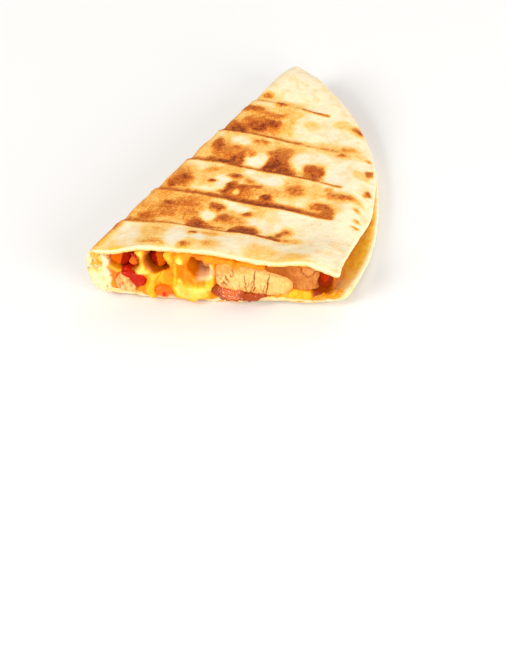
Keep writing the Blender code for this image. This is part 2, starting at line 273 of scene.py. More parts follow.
print("height at the fold and over the filling, mm:", fold_top(0.0), round(float(upper_top(30.0, 0.0)), 1))

# %% [markdown]
# ## Where the grill browned it
#
# A ridged grill leaves two kinds of colour. Each bar presses a groove with a crisp
# near edge and a brown band behind it. Between the bars only the blisters touch the
# plate, so they go from straw yellow over orange-brown to nearly burnt, while the
# hollows between them stay pale. The marks are given as soft ovals in millimetres,
# and `uneven` bends their outlines so that none of them looks like an oval.

# %% Bands behind the grill bars: from, to, strength, width
BANDS = (
    ((8, 22, 0.56, 6.0), (20, 35, 0.48, 4.0), (33, 41.5, 0.76, 4.6), (41, 49, 0.58, 2.2),
     (48.5, 60, 0.84, 5.4), (59, 69.5, 0.72, 3.0)),
    ((13, 31, 0.58, 5.0), (29, 41, 0.68, 4.8), (40, 61, 0.76, 5.2), (60, 71, 0.8, 4.6),
     (70, 83, 0.58, 5.0)),
    ((19, 32, 0.56, 5.0), (31, 41, 0.72, 3.6), (39, 51, 0.62, 3.4), (50, 62, 0.76, 4.6),
     (61, 71.5, 0.62, 3.0), (71, 80, 0.44, 1.8)),
    ((25, 38, 0.68, 6.5), (37, 45, 0.56, 4.2), (44, 58.5, 0.58, 3.8), (58, 76, 0.34, 3.4)),
    ((33, 44, 0.4, 2.6), (43, 53, 0.34, 2.0), (52, 63, 0.52, 1.7)),
)

# %% Broad browned areas: x, y, half width, half depth, strength
BROWNED = (
    (14, 27, 7, 6, 0.42), (24, 26, 9, 6, 0.5), (33, 25, 7, 6, 0.48), (20, 33, 9, 4, 0.42),
    (31, 32, 8, 3, 0.5), (46, 24, 7, 4, 0.46), (25, 12, 6, 6, 0.28), (25, 5, 5, 2.6, 0.34),
    (46, 5, 3.6, 2.6, 0.4), (39, 4.5, 4, 1.8, 0.28), (66, 5, 5.5, 3.2, 0.2), (79, 3.4, 4, 1.5, 0.18),
    (59.5, 27.5, 3.4, 1.8, 0.3), (23, 44, 5.5, 7.0, 0.5), (32, 45, 5, 4.2, 0.3), (46, 40, 8, 4.2, 0.55),
    (55, 41.5, 8, 4, 0.4), (64.8, 44.5, 6, 4.6, 0.46), (63, 48, 6, 2.4, 0.34), (71, 46, 5, 4, 0.22),
    (80, 45.5, 7, 2.4, 0.4), (77, 38.5, 6, 2.4, 0.5), (26.5, 60, 3, 4, 0.3), (34, 60, 6, 7, 0.52),
    (33, 67, 3, 3, 0.32), (39, 63, 5, 3.6, 0.46), (54, 61, 6.4, 8.5, 0.54), (45.5, 66.5, 5, 3, 0.3),
    (48, 63, 4, 4, 0.28), (68, 57, 5.6, 4.6, 0.56), (61, 56, 4, 3, 0.4), (41, 78.5, 9.5, 5.5, 0.56),
    (31, 77, 4, 3, 0.6), (44, 83.5, 5.5, 2.6, 0.5), (35.5, 86.2, 6.4, 2.6, 0.64), (31, 81.5, 3, 2, 0.26),
    (58.5, 83.5, 2.2, 1.0, 0.28), (68.5, 86.5, 1.4, 1.0, 0.24), (48.5, 90.4, 5, 1.8, 0.34),
    (68, 72.3, 7, 2.6, 0.32), (57, 68, 4, 3, 0.24), (29, 29.4, 9, 2.6, 0.56), (43, 84.4, 8, 1.8, 0.54),
    (83, 61.5, 1.6, 1.4, 0.2), (74.5, 72, 4, 3, 0.26),
)

# %% Blisters that touched the plate: x, y, half width, half depth, strength
BLISTERS = (
    (25, 3.4, 4.2, 0.7, 0.46), (29.5, 3.6, 1.0, 0.6, 0.52), (24.6, 12.2, 1.2, 0.9, 0.36),
    (38, 11.8, 1.5, 1.2, 0.76), (44.6, 12.7, 3.0, 0.9, 0.48), (38.3, 3.4, 1.8, 1.0, 0.56),
    (72.3, 16.0, 2.8, 1.1, 0.46), (76.2, 15.4, 2.0, 0.6, 0.4), (65.8, 17.0, 1.9, 0.8, 0.7),
    (68.0, 18.9, 1.4, 1.3, 0.74), (69.4, 21.2, 1.1, 1.3, 0.66), (54.3, 18.4, 4.4, 2.7, 0.86),
    (37, 20.0, 4.0, 2.0, 0.8), (43.5, 18.8, 3.2, 0.8, 0.62), (24, 28.5, 2.0, 1.3, 0.72),
    (23.2, 26.6, 1.4, 1.0, 0.66), (27.2, 28.2, 1.8, 1.0, 0.58), (24.6, 22.8, 2.6, 1.2, 0.58),
    (17.8, 21.8, 3.4, 1.6, 0.64), (39.2, 30.6, 1.4, 1.0, 0.6), (41.5, 29.4, 2.9, 1.7, 0.8),
    (45.5, 24.2, 3.0, 1.8, 0.64), (50.5, 23.2, 2.6, 1.4, 0.48), (52.6, 28.3, 1.9, 1.4, 0.84),
    (76.3, 39, 3.4, 1.5, 0.62), (80, 36.2, 2.4, 1.7, 0.62), (34.8, 43.8, 1.5, 0.9, 0.68),
    (33, 49.5, 1.9, 0.9, 0.5), (22.3, 41, 3.6, 1.7, 0.8), (24.6, 43.6, 2.6, 1.7, 0.7),
    (42.4, 47.3, 2.6, 1.3, 0.74), (42, 42.6, 2.2, 1.7, 0.8), (40.8, 39.2, 2.2, 1.6, 0.76),
    (46.8, 41.8, 2.6, 1.6, 0.76), (51, 43.4, 2.6, 1.2, 0.66), (48, 46, 1.8, 1.5, 0.5),
    (56.4, 38.9, 2.1, 1.6, 0.88), (64.6, 44.4, 3.2, 2.2, 0.56), (76.5, 48.5, 1.9, 1.2, 0.5),
    (82, 46, 4.8, 1.6, 0.56), (77.5, 45, 3.2, 1.0, 0.48), (30.3, 63.6, 2.2, 3.2, 0.74),
    (29.8, 56, 1.8, 1.7, 0.72), (35.2, 55.6, 3.2, 1.6, 0.86), (39.3, 58.2, 2.0, 3.0, 0.82),
    (37.2, 63.6, 2.2, 1.3, 0.6), (43, 61.6, 1.9, 1.4, 0.46), (45, 68.3, 2.5, 1.5, 0.52),
    (51.8, 56.2, 2.4, 2.0, 0.95), (54.0, 58.8, 3.6, 1.8, 0.85), (55.6, 56.0, 4.0, 2.4, 0.78),
    (52, 63, 2.8, 2.0, 0.62), (54, 66.6, 1.8, 1.6, 0.52), (68.4, 57, 2.7, 3.6, 0.74),
    (65.4, 58.6, 2.4, 2.0, 0.64), (33.7, 75.5, 2.6, 1.6, 0.82), (68, 72.5, 3.4, 1.1, 0.46),
    (74.5, 73.5, 2.2, 1.2, 0.48), (74.4, 70, 1.8, 1.0, 0.5), (41, 77.6, 3.0, 2.0, 0.88),
    (45.4, 79.8, 3.2, 1.8, 0.84), (34, 86, 3.4, 1.5, 0.72), (45, 91, 2.2, 1.3, 0.68),
    (39.5, 95, 1.5, 1.2, 0.68), (73.4, 85.9, 1.5, 1.3, 0.66), (81.4, 73, 1.2, 1.0, 0.46),
    (84.3, 65.2, 1.3, 2.0, 0.78), (87.3, 53.2, 1.1, 2.0, 0.74), (88.2, 41.6, 1.1, 1.0, 0.4),
    (89.9, 35.8, 1.3, 0.9, 0.58), (90.1, 32.0, 1.2, 0.8, 0.52),
)

# %% Hollows that stayed pale: x, y, half width, half depth, strength
PALE = (
    (14.5, 9, 4.2, 6.5, 0.9), (33, 9, 4.4, 6.4, 0.85), (41.5, 9, 3, 2.6, 0.7), (39, 25, 2.6, 2.4, 0.75),
    (49, 31, 5, 1.6, 0.8), (31.5, 37.8, 5.4, 2.4, 0.85), (38.4, 44, 2.8, 3.6, 0.85),
    (44.8, 39.6, 1.3, 1.0, 0.6), (46, 44.6, 2.0, 1.0, 0.6), (55.5, 48.2, 4, 2.0, 0.85),
    (38.4, 68.2, 4.2, 2.0, 0.85), (45.5, 58.8, 4.2, 3.0, 0.85), (75.5, 58, 4.4, 4.4, 0.8),
    (61.5, 62, 4, 5, 0.75), (57, 24, 5, 2.4, 0.5), (63, 27, 5, 4, 0.5), (50, 48, 2.4, 1.6, 0.6),
)
print(len(BLISTERS), "blisters,", sum(len(band) for band in BANDS), "stretches of band")


# %% Adding the marks up
def oval(x, y, mark, fade, spread=0.0):
    """1 inside an oval mark, fading out over its edge."""
    distance = np.hypot((x - mark[0]) / (mark[2] + spread), (y - mark[1]) / (mark[3] + spread))
    return smooth((1 + fade - distance) / (2 * fade))


def stretch(x, start, end, soft=2.0):
    return smooth((x - start) / soft + 0.5) * (1 - smooth((x - end) / soft + 0.5))


def bars(x, y, noise):
    """Brown bands behind the bars: a crisp near edge, fading towards the far side."""
    total = np.zeros_like(x)
    for k, band in enumerate(BANDS):
        t = past_bar(x, y, k)
        near_edge = smooth((t + 0.55 + 0.15 * noise) / 0.6)
        for start, end, strength, width in band:
            far_edge = 1 - smooth((t - 0.35 * width * (1 + 0.25 * noise)) / (0.95 * width))
            crisp = 1.0 + 0.18 * bump(t, 0.4, 1.0)
            total = np.maximum(total, near_edge * far_edge * stretch(x, start, end) * strength * crisp)
    return total


def toast_above(x, y):
    """How brown the upper side is: 0 pale flour, 1 nearly burnt."""
    spot = np.stack([x, y, np.zeros_like(x)], axis=-1)
    wide, fine = uneven(spot, 4.5, 11), uneven(spot, 1.5, 17)
    side, deep = uneven(spot, 4.0, 23), uneven(spot, 1.4, 29)
    specks = uneven(spot, 0.9, 33, 1)
    u, v = x + 0.8 * wide + 0.5 * fine, y + 0.7 * side + 0.45 * deep
    wash = smooth(0.6 + 0.9 * wide) * (1 - smooth((across(x, y) - 0.42 - 0.08 * wide) / 0.24))
    wash *= smooth((y - 11) / 6) * (1 - smooth((y - 92) / 8))
    total = 0.05 + 0.25 * wash
    for mark in BROWNED:
        total = np.maximum(total, oval(u, v, mark, 0.50, 1.6) * 0.26)
        total = np.maximum(total, oval(u, v, mark, 0.70) * mark[4])
    for mark in BLISTERS:
        halo = 0.34 * smooth(mark[4] / 0.6) * (1 - smooth((mark[0] - 70) / 12))
        total = np.maximum(total, oval(u, v, mark, 0.50, 1.8) * halo)
    edge = bump(x - fold_x(y), 3.0, 2.6)
    total = np.maximum(total, edge * 0.60 * stretch(y, 2, 17, 3) * (1 + 0.3 * fine))
    along_fold = 0.40 * smooth((y - 16) / 3) * (1 - smooth((y - 84) / 10))
    total = np.maximum(total, edge * along_fold * (1 + 0.3 * wide))
    for mark in PALE:
        total = total * (1 - oval(u, v, mark, 0.35) * mark[4])
    total = np.maximum(total, bars(x + 0.5 * fine, y, wide) * (1 + 0.12 * fine))
    for mark in BLISTERS:
        part = oval(u, v, mark, 0.58)
        total = total * (1 - part) + np.maximum(total, mark[4] * (1.0 + 0.22 * deep + 0.10 * specks)) * part
    speckled = 0.05 * smooth((specks - 0.45) / 0.3) * smooth((total - 0.16) / 0.15)
    total = total + 0.08 * smooth((total - 0.3) / 0.3) + speckled
    return np.clip(total, 0, 1)


def toast_below(x, y):
    """The side on the plate: the same kind of grill, with blisters strewn by chance."""
    spot = np.stack([x, y, np.full_like(x, 50.0)], axis=-1)
    wide, fine = uneven(spot, 7.0, 31), uneven(spot, 1.8, 37)
    t = np.mod(y + 4.0 + 0.4 * wide, GROOVE_PITCH)
    band = smooth(t / 0.8) * (1 - smooth((t - 2.2 - fine) / 2.4)) * (0.55 + 0.2 * wide)
    blister = smooth((wide + 0.45 * fine - 0.35) / 0.5) * 0.7
    inside = smooth((x - fold_x(y) - 3) / 5) * (1 - smooth((across(x, y) - 0.80) / 0.14))
    return np.clip(np.maximum(band, blister), 0, 1) * inside


# %% [markdown]
# ## The tortilla as one fine sheet
#
# The sheet is a grid of points: columns run from the lower rim round the fold to the
# upper rim, rows run from the cut to the tip and follow the grooves. Pushing the grid
# out and in by half the thickness gives the two faces, and a strip of points between
# them makes the cut edge and the rims. A modifier could thicken the sheet too, but a
# strip of its own lets the cut look torn and bready.

# %% Columns and rows of the sheet
LOWER_COLUMNS, BEND_COLUMNS, UPPER_COLUMNS = 72, 42, 142
EDGE_STEPS = 5


def sheet_rows():
    rows = list(np.arange(0, 2.4, 0.3)) + list(np.arange(2.4, 113.6, 0.78))
    for k in range(GROOVE_COUNT):
        line = GROOVE_FIRST + k * GROOVE_PITCH
        rows = [r for r in rows if not line - 1.0 < r < line + 2.0]
        rows += list(np.arange(line - 1.0, line + 2.01, 0.3))
    return np.array(sorted(rows))


def sheet_middle(rows):
    """Middle surface of the sheet, as a grid of points in mm."""
    r = rows[:, None]
    x0, run, rise, middle = bend(r)
    end = rim_x(r) - tip_inset(r)
    t = np.linspace(1, 0, LOWER_COLUMNS + 1)[:-1][None, :]
    x = x0 + (end - corner_inset(r) - x0) * t
    lower = np.stack([x, r + 0 * x, lower_bottom(x, r) + SHEET / 2], axis=-1)
    a = np.linspace(-np.pi / 2, np.pi / 2, BEND_COLUMNS)[None, :]
    x = x0 - run * np.abs(np.cos(a)) ** (2 / 2.4)
    side = np.sign(np.sin(a)) * np.abs(np.sin(a)) ** (2 / 2.4)
    turn = np.stack([x, r + 0 * x, middle + rise * side + grooves(x0, r) * smooth(side)], axis=-1)
    t = np.linspace(0, 1, UPPER_COLUMNS + 1)[1:][None, :]
    y = r - groove_shift(x0 + (end - x0) * t, r)
    start, stop = bend(y)[0], rim_x(y) - tip_inset(y) - upper_inset(y)
    x = start + (stop - start) * t
    upper = np.stack([x, y, upper_top(x, y) - SHEET / 2], axis=-1)
    height = np.concatenate([0 * lower[..., 0] - 1, side + 0 * turn[..., 0], 0 * upper[..., 0] + 1], axis=1)
    return np.concatenate([lower, turn, upper], axis=1), height


def grid_normals(grid):
    along = np.gradient(grid, axis=1)
    away = np.gradient(grid, axis=0)
    normal = np.cross(along, away)
    return -normal / np.maximum(np.linalg.norm(normal, axis=-1, keepdims=True), 1e-9)


rows = sheet_rows()
middle, height = sheet_middle(rows)
torn = uneven(middle[0] * [1, 0, 1], 2.2, 41) * 0.28 + uneven(middle[0] * [1, 0, 1], 0.8, 43) * 0.12 + 0.32
middle[..., 1] += torn[None, :] * (1 - smooth(rows / 1.7))[:, None]
normals = grid_normals(middle)
if normals[:, -20:, 2].mean() < 0:
    normals = -normals
print("sheet grid:", middle.shape[:2], "points")

# %% Toast, blisters and waves on the two faces
x, y = middle[..., 0], middle[..., 1]
top_share = smooth((height + 0.35) / 1.1)
toast = toast_above(x, y) * top_share + toast_below(x, y) * (1 - smooth((height + 0.9) / 0.5))
spots = middle + normals * 3.0
swell = 0.16 * uneven(spots, 8, 51) + 0.09 * uneven(spots, 3, 53) + 0.05 * uneven(spots, 1.2, 57)
swell += 0.26 * smooth((toast - 0.3) / 0.5) * top_share
calm = smooth(rows / 1.5)[:, None] * (1 - smooth((rows - 110) / 3))[:, None]
swell = np.where(height > -0.6, swell, 0.0) * (0.35 + 0.65 * calm)
inner_swell = 0.12 * uneven(middle, 5, 61) + 0.08 * uneven(middle, 1.8, 67)


# %% From grid to closed mesh
def sheet_mesh(name, middle, normals, outer_lift, inner_lift):
    """Closed mesh of the sheet; returns the object, and the row and column of each border point."""
    count_r, count_c = middle.shape[:2]
    rim = np.full((count_r, count_c), SHEET / 2)
    rim[0, :] -= 0.12
    rim[:, 0] -= 0.25
    rim[:, -1] -= 0.25
    rim[-1, :] -= 0.25
    faces_out = middle + normals * (rim + outer_lift)[..., None]
    faces_in = middle - normals * (rim + inner_lift)[..., None]
    number = np.arange(count_r * count_c).reshape(count_r, count_c)
    border = [(0, c) for c in range(count_c)] + [(r, count_c - 1) for r in range(1, count_r)]
    border += [(count_r - 1, c) for c in range(count_c - 2, -1, -1)]
    border += [(r, 0) for r in range(count_r - 2, 0, -1)]
    border = np.array(border)
    r, c = border[:, 0], border[:, 1]
    along = np.gradient(middle, axis=1)
    along /= np.maximum(np.linalg.norm(along, axis=-1, keepdims=True), 1e-9)
    outward = np.zeros((len(border), 3))
    outward += np.where((c == 0)[:, None], -along[r, c], 0)
    outward += np.where((c == count_c - 1)[:, None], along[r, c], 0)
    outward[r == 0] += (0, -1, 0)
    outward[r == count_r - 1] += (0, 1, 0)
    outward /= np.linalg.norm(outward, axis=1, keepdims=True)
    walls = []
    for step in range(1, EDGE_STEPS + 1):
        s = step / (EDGE_STEPS + 1)
        at = faces_out[r, c] * (1 - s) + faces_in[r, c] * s
        rounding = 0.42 * (1 - (2 * s - 1) ** 4) * np.where(r == 0, 0.25, 1.0)
        crumb = (0.16 * uneven(at, 0.7, 71) + 0.12 * uneven(at, 2.0, 73)) * np.where(r == 0, 1.5, 1.0)
        walls.append(at + outward * (rounding + crumb)[:, None])
    points = np.concatenate([faces_out.reshape(-1, 3), faces_in.reshape(-1, 3)] + walls)
    half_way = count_r * count_c
    a, b = number[:-1, :-1].ravel(), number[:-1, 1:].ravel()
    d, e = number[1:, 1:].ravel(), number[1:, :-1].ravel()
    quads = [np.stack([a, b, d, e], 1), np.stack([e, d, b, a], 1) + half_way]
    steps = [2 * half_way + k * len(border) + np.arange(len(border)) for k in range(EDGE_STEPS)]
    loops = [number[r, c]] + steps + [number[r, c] + half_way]
    for one, two in zip(loops[:-1], loops[1:]):
        quads.append(np.stack([one, two, np.roll(two, -1), np.roll(one, -1)], 1))
    mesh = bpy.data.meshes.new(name)
    mesh.from_pydata(place(points).tolist(), [], np.concatenate(quads).tolist())
    mesh.validate()
    solid = bmesh.new()
    solid.from_mesh(mesh)
    bmesh.ops.recalc_face_normals(solid, faces=solid.faces)
    solid.to_mesh(mesh)
    solid.free()
    mesh.shade_smooth()
    made = bpy.data.objects.new(name, mesh)
    bpy.context.scene.collection.objects.link(made)
    return made, border


def paint(piece, name, values):
    """Store one number per point, for the material to read."""
    layer = piece.data.attributes.new(name, "FLOAT", "POINT")
    layer.data.foreach_set("value", np.asarray(values, np.float32))


tortilla, border = sheet_mesh("tortilla_sheet", middle, normals, swell, inner_swell)
print("tortilla:", len(tortilla.data.vertices), "points,", 2 * len(tortilla.data.polygons), "triangles")

# %% Painting toast, stain and crumb onto the points
r, c = border[:, 0], border[:, 1]
under = (height[r, c] < -0.9) * (r == 0) * smooth((x[r, c] - 24) / 8) * (1 - smooth((x[r, c] - 84) / 5))
scorch = under * smooth(0.55 + 1.2 * uneven(middle[r, c], 1.6, 77))
EDGE_SHARES = ((0.75, 0.8), (0.12, 0.35), (0.12, 0), (0.12, 0), (0.12, 0))    # toast and scorch, by step
edge_toast = [toast[r, c] * kept + scorch * burnt for kept, burnt in EDGE_SHARES]
paint(tortilla, "toast", np.concatenate([toast.ravel(), 0 * toast.ravel()] + edge_toast))
edge = [np.full(len(border), 1.0)] * EDGE_STEPS
lip = smooth(1 - rows / 0.7)[:, None] + 0 * toast
paint(tortilla, "crumb", np.concatenate([lip.ravel(), lip.ravel()] + edge))
soak = uneven(middle, 4.0, 81) * 0.5 + uneven(middle, 1.6, 83) * 0.3
to_rim = rim_x(y) - x
inner_stain = (1.0 + 0.25 * soak) * (0.10 + 0.90 * smooth((to_rim + 0.4) / 1.4))
inner_stain *= 0.35 + 0.65 * smooth((x - 9 - fold_x(y)) / 7)
inner_stain *= 1 - 0.26 * smooth((x - 84) / 6) * (1 - smooth((y - 8) / 12))
outer_stain = near_cut(y, 15) * (1 - smooth((x - 9) / 12)) * (height > -0.8) * 0.75 + 0.45 * near_cut(y, 3.2)
outer_stain = np.maximum(outer_stain, 1.3 * near_cut(y, 10) * bump(x - fold_x(y), 1.0, 4.5) * (height > -0.8))
outer_stain += 0.40 * near_cut(y, 6) * bump(x, 76, 9) * top_share
at_fold = bump(height[r, c], 0, 0.9)
rim_wall = 0.65 * (c == 0) * near_cut(y[r, c], 34)
inner_edge = []
for step in range(EDGE_STEPS):
    cut_stain = (0.95 - 0.65 * at_fold) * smooth((step + 0.4) / 4.5) * (r == 0)
    inner_edge.append(cut_stain + 0.12 + rim_wall * (step > 0))
outer_stain = outer_stain * (0.8 + soak)
paint(tortilla, "stain", np.concatenate([outer_stain.ravel(), inner_stain.ravel()] + inner_edge))
# A darker red-orange pool on the lower layer's inner face by the open corner: tomato juice and painted shade
# of the recess between the layers.
from_pool = np.hypot((x - 88.5) / 7.5, (y - 4) / 13)
juice = (height < -0.9) * near_cut(y, 26) * (1 - smooth((from_pool - 0.55 + 0.15 * soak) / 0.6))
juice = juice * smooth(y / 2.0) * smooth((to_rim - 2.6) / 3.0)
paint(tortilla, "juice", np.concatenate([0 * juice.ravel(), juice.ravel()] + [0 * r] * EDGE_STEPS))

# %% [markdown]
# ## Mixing colours and wiring nodes
#
# Kitchen colours are easiest to name as they look on a screen, so `screen` turns
# those values into the linear ones that a shader needs. `node` adds a node, sets its
# plain inputs and links the rest, which keeps each material short enough to read.

# %% Colour and node helpers
def screen(red, green, blue):
    """Screen colour, 0 to 255, as a linear colour with alpha."""
    parts = np.array([red, green, blue]) / 255.0
    linear = np.where(parts <= 0.04045, parts / 12.92, ((parts + 0.055) / 1.055) ** 2.4)
    return (*(float(c) for c in linear), 1.0)


def node(tree, kind, inputs=None, **settings):
    made = tree.nodes.new(kind)
    for key, value in settings.items():
        setattr(made, key, value)
    for key, value in (inputs or {}).items():
        if isinstance(value, bpy.types.NodeSocket):
            tree.links.new(value, made.inputs[key])
        else:
            made.inputs[key].default_value = value
    return made


def math(tree, operation, a, b=0.0, c=0.0, clamp=False):
    return node(tree, "ShaderNodeMath", {0: a, 1: b, 2: c}, operation=operation, use_clamp=clamp).outputs[0]


def span(tree, value, start, end, low=0.0, high=1.0):
    """A soft step of a mask from start to end."""
    inputs = {"Value": value, "From Min": start, "From Max": end, "To Min": low, "To Max": high}
    return node(tree, "ShaderNodeMapRange", inputs, interpolation_type="SMOOTHSTEP").outputs["Result"]


def blend_colour(tree, share, one, two, kind="MIX"):
    made = node(tree, "ShaderNodeMix", data_type="RGBA", blend_type=kind)
    for key, value in ((0, share), (6, one), (7, two)):
        if isinstance(value, bpy.types.NodeSocket):
            tree.links.new(value, made.inputs[key])
        else:
            made.inputs[key].default_value = value
    return made.outputs[2]


def ramp(tree, value, stops):
    made = node(tree, "ShaderNodeValToRGB", {"Fac": value})
    colours = made.color_ramp
    while len(colours.elements) < len(stops):
        colours.elements.new(1.0)
    for element, (position, colour) in zip(colours.elements, stops):
        element.position = position
        element.color = colour
    return made.outputs["Color"]


def new_material(name):
    made = bpy.data.materials.new(name)
    made.use_nodes = True
    tree = made.node_tree
    tree.nodes.clear()
    surface = node(tree, "ShaderNodeBsdfPrincipled")
    node(tree, "ShaderNodeOutputMaterial", {"Surface": surface.outputs[0]})
    return made, tree, surface


def let_light_in(surface, gloss, share, reach, depth):
    """Light passes a little way into food; depth in mm, reach by colour."""
    surface.inputs["Specular IOR Level"].default_value = gloss
    surface.inputs["Subsurface Weight"].default_value = share
    surface.inputs["Subsurface Radius"].default_value = reach
    surface.inputs["Subsurface Scale"].default_value = depth * MM


def read(tree, name):
    return node(tree, "ShaderNodeAttribute", attribute_name=name).outputs["Fac"]


# %% [markdown]
# ## Grain, a shared effect
#
# Flour, cheese, chicken and vegetables all break up into small lumps at their own
# size. One node group makes that from the place on the food, so a bigger piece has
# more grains and not bigger ones. It gives a mask for colour and a height for bumps.

# %% The grain group
def grain_group():
    tree = bpy.data.node_groups.new("food grain", "ShaderNodeTree")
    sockets = tree.interface
    sockets.new_socket("Grain mm", in_out="INPUT", socket_type="NodeSocketFloat").default_value = 1.0
    sockets.new_socket("Stretch", in_out="INPUT", socket_type="NodeSocketVector").default_value = (1, 1, 1)
    sockets.new_socket("Mask", in_out="OUTPUT", socket_type="NodeSocketFloat")
    sockets.new_socket("Height", in_out="OUTPUT", socket_type="NodeSocketFloat")
    start, end = node(tree, "NodeGroupInput"), node(tree, "NodeGroupOutput")
    spot = node(tree, "ShaderNodeTexCoord").outputs["Object"]
    per_mm = math(tree, "DIVIDE", 1 / MM, start.outputs["Grain mm"])
    sized = node(tree, "ShaderNodeVectorMath", {0: spot, "Scale": per_mm}, operation="SCALE").outputs[0]
    both = {0: sized, 1: start.outputs["Stretch"]}
    drawn = node(tree, "ShaderNodeVectorMath", both, operation="MULTIPLY").outputs[0]
    lumps = node(tree, "ShaderNodeTexNoise", {"Vector": drawn, "Scale": 1.0, "Detail": 3.0, "Roughness": 0.6})
    tree.links.new(span(tree, lumps.outputs["Fac"], 0.32, 0.68), end.inputs["Mask"])
    tree.links.new(lumps.outputs["Fac"], end.inputs["Height"])
    return tree


GRAIN = grain_group()


def grain(tree, size, stretch=(1, 1, 1)):
    """Mask and height of grains of the given size in mm."""
    made = node(tree, "ShaderNodeGroup", node_tree=GRAIN)
    made.inputs["Grain mm"].default_value = size
    made.inputs["Stretch"].default_value = stretch
    return made.outputs["Mask"], made.outputs["Height"]


def relief(tree, surface, height, depth):
    """Bump of the given depth in mm."""
    bumps = node(tree, "ShaderNodeBump", {"Height": height, "Strength": 1.0, "Distance": depth * MM})
    tree.links.new(bumps.outputs["Normal"], surface.inputs["Normal"])


print("groups:", [group.name for group in bpy.data.node_groups])

# %% [markdown]
# ## Toasted flour
#
# Flour tortilla is cream white with a few darker specks. Heat takes it through straw
# yellow and orange-brown to a dark, slightly red brown. The painted toast is broken up
# by two sizes of grain before it picks a colour, because real toast is a crowd of
# tiny scorched points and not a smooth wash. Cheese fat soaks the inner side.

# %% Material of the tortilla
TOAST = (
    (0.0, screen(252, 238, 210)), (0.12, screen(253, 226, 170)), (0.26, screen(255, 202, 108)),
    (0.42, screen(245, 168, 68)), (0.56, screen(222, 132, 42)), (0.7, screen(200, 104, 24)),
    (0.84, screen(174, 80, 14)), (1.0, screen(124, 46, 4)),
)


def tortilla_material():
    made, tree, surface = new_material("toasted_flour")
    toast, stain, crumb, juice = (read(tree, name) for name in ("toast", "stain", "crumb", "juice"))
    fine, fine_height = grain(tree, 0.55)
    coarse, coarse_height = grain(tree, 1.8)
    wide = grain(tree, 9.0)[0]
    unsettled = math(tree, "MULTIPLY_ADD", fine, 0.23, math(tree, "MULTIPLY_ADD", coarse, 0.16, -0.21))
    amount = math(tree, "MULTIPLY", span(tree, toast, 0.06, 0.45), unsettled)
    deepened = math(tree, "ADD", toast, amount, clamp=True)
    colour = ramp(tree, deepened, TOAST)
    greyer = blend_colour(tree, math(tree, "MULTIPLY", wide, 0.5), colour, screen(248, 241, 230), "MULTIPLY")
    patch_share = span(tree, grain(tree, 4.5)[0], 0.5, 1.0, 0.0, 0.55)
    patches = blend_colour(tree, patch_share, greyer, screen(255, 232, 190), "MULTIPLY")
    specks = math(tree, "MULTIPLY", span(tree, grain(tree, 0.9)[1], 0.70, 0.76), 0.30)
    flour = blend_colour(tree, specks, patches, screen(196, 176, 134), "MULTIPLY")
    fat = blend_colour(tree, coarse, screen(255, 208, 74), screen(255, 182, 30))
    # Towards dark red-orange: juice and painted shade in the recess.
    fat_juice_and_shade = blend_colour(tree, math(tree, "MULTIPLY", juice, 0.55), fat, screen(196, 78, 6))
    soaked = blend_colour(tree, math(tree, "MULTIPLY", stain, 1.0, clamp=True), flour, fat_juice_and_shade)
    bread = blend_colour(tree, fine, screen(255, 244, 212), screen(250, 226, 170))
    clean = math(tree, "MULTIPLY_ADD", stain, -0.8, math(tree, "SUBTRACT", 0.95, toast), clamp=True)
    share = math(tree, "MULTIPLY", crumb, clean, clamp=True)
    cut = blend_colour(tree, math(tree, "MULTIPLY", share, 0.8), soaked, bread)
    tree.links.new(cut, surface.inputs["Base Color"])
    tree.links.new(span(tree, coarse, 0.0, 1.0, 0.62, 0.48), surface.inputs["Roughness"])
    let_light_in(surface, 0.2, 0.16, (1.0, 0.6, 0.3), 1.2)
    height = math(tree, "ADD", math(tree, "MULTIPLY", fine_height, 0.4), coarse_height)
    relief(tree, surface, height, 0.45)
    return made


tortilla.data.materials.append(tortilla_material())
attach(tortilla, "root")
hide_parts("tortilla")

# %% [markdown]
# ## Dressing a solid
#
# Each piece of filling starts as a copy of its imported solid, so it is the right size
# and in the right place. A voxel remesh gives it an even, fine skin, a short smoothing
# takes off the facets, and then the points move to give each food its own surface.

# %% Fine copies of the solids
def apply_modifiers(piece):
    graph = bpy.context.evaluated_depsgraph_get()
    shaped = bpy.data.meshes.new_from_object(piece.evaluated_get(graph))
    piece.modifiers.clear()
    old = piece.data
    piece.data = shaped
    bpy.data.meshes.remove(old)


def even_skin(piece, voxel, smoothing):
    remesh = piece.modifiers.new("Even skin", "REMESH")
    remesh.mode = "VOXEL"
    remesh.voxel_size = voxel * MM
    soften = piece.modifiers.new("Soften", "SMOOTH")
    soften.factor = 0.5
    soften.iterations = smoothing
    apply_modifiers(piece)
    piece.data.shade_smooth()


def bare_copy(node_name, name):
    made = bpy.data.objects.new(name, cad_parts[node_name].data.copy())
    made.data.materials.clear()
    bpy.context.scene.collection.objects.link(made)
    return made


def fine_copy(node_name, name, voxel, smoothing=4):
    made = bare_copy(node_name, name)
    even_skin(made, voxel, smoothing)
    print(name, "has", len(made.data.polygons), "faces")
    return made


def points_of(piece):
    values = np.zeros(len(piece.data.vertices) * 3)
    piece.data.vertices.foreach_get("co", values)
    return measure(values.reshape(-1, 3))


def normals_of(piece):
    values = np.zeros(len(piece.data.vertices) * 3)
    piece.data.vertex_normals.foreach_get("vector", values)
    return values.reshape(-1, 3)


def move_points(piece, points):
    piece.data.vertices.foreach_set("co", place(points).ravel())
    piece.data.update()


def belongs(piece, node_name):
    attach(piece, "root")
    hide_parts(node_name)


# %% [markdown]
# ## Fields for sculpting a cut face
#
# What is seen in the opening is drawn on the cut: along it and up it. `strand` gives
# the distance to a straight run between two points there, which is enough to pull
# strings of cheese out of a surface, sink a crack into meat or place a soft blob.

# %% Distance to a run on the cut face
def strand(points, start, end):
    """Distance in the plane of the cut from each point to the line from start to end."""
    a, b = np.array(start, float), np.array(end, float)
    p = points[:, [0, 2]] - a
    share = np.clip(p @ (b - a) / max((b - a) @ (b - a), 1e-9), 0, 1)
    return np.linalg.norm(p - share[:, None] * (b - a), axis=1)


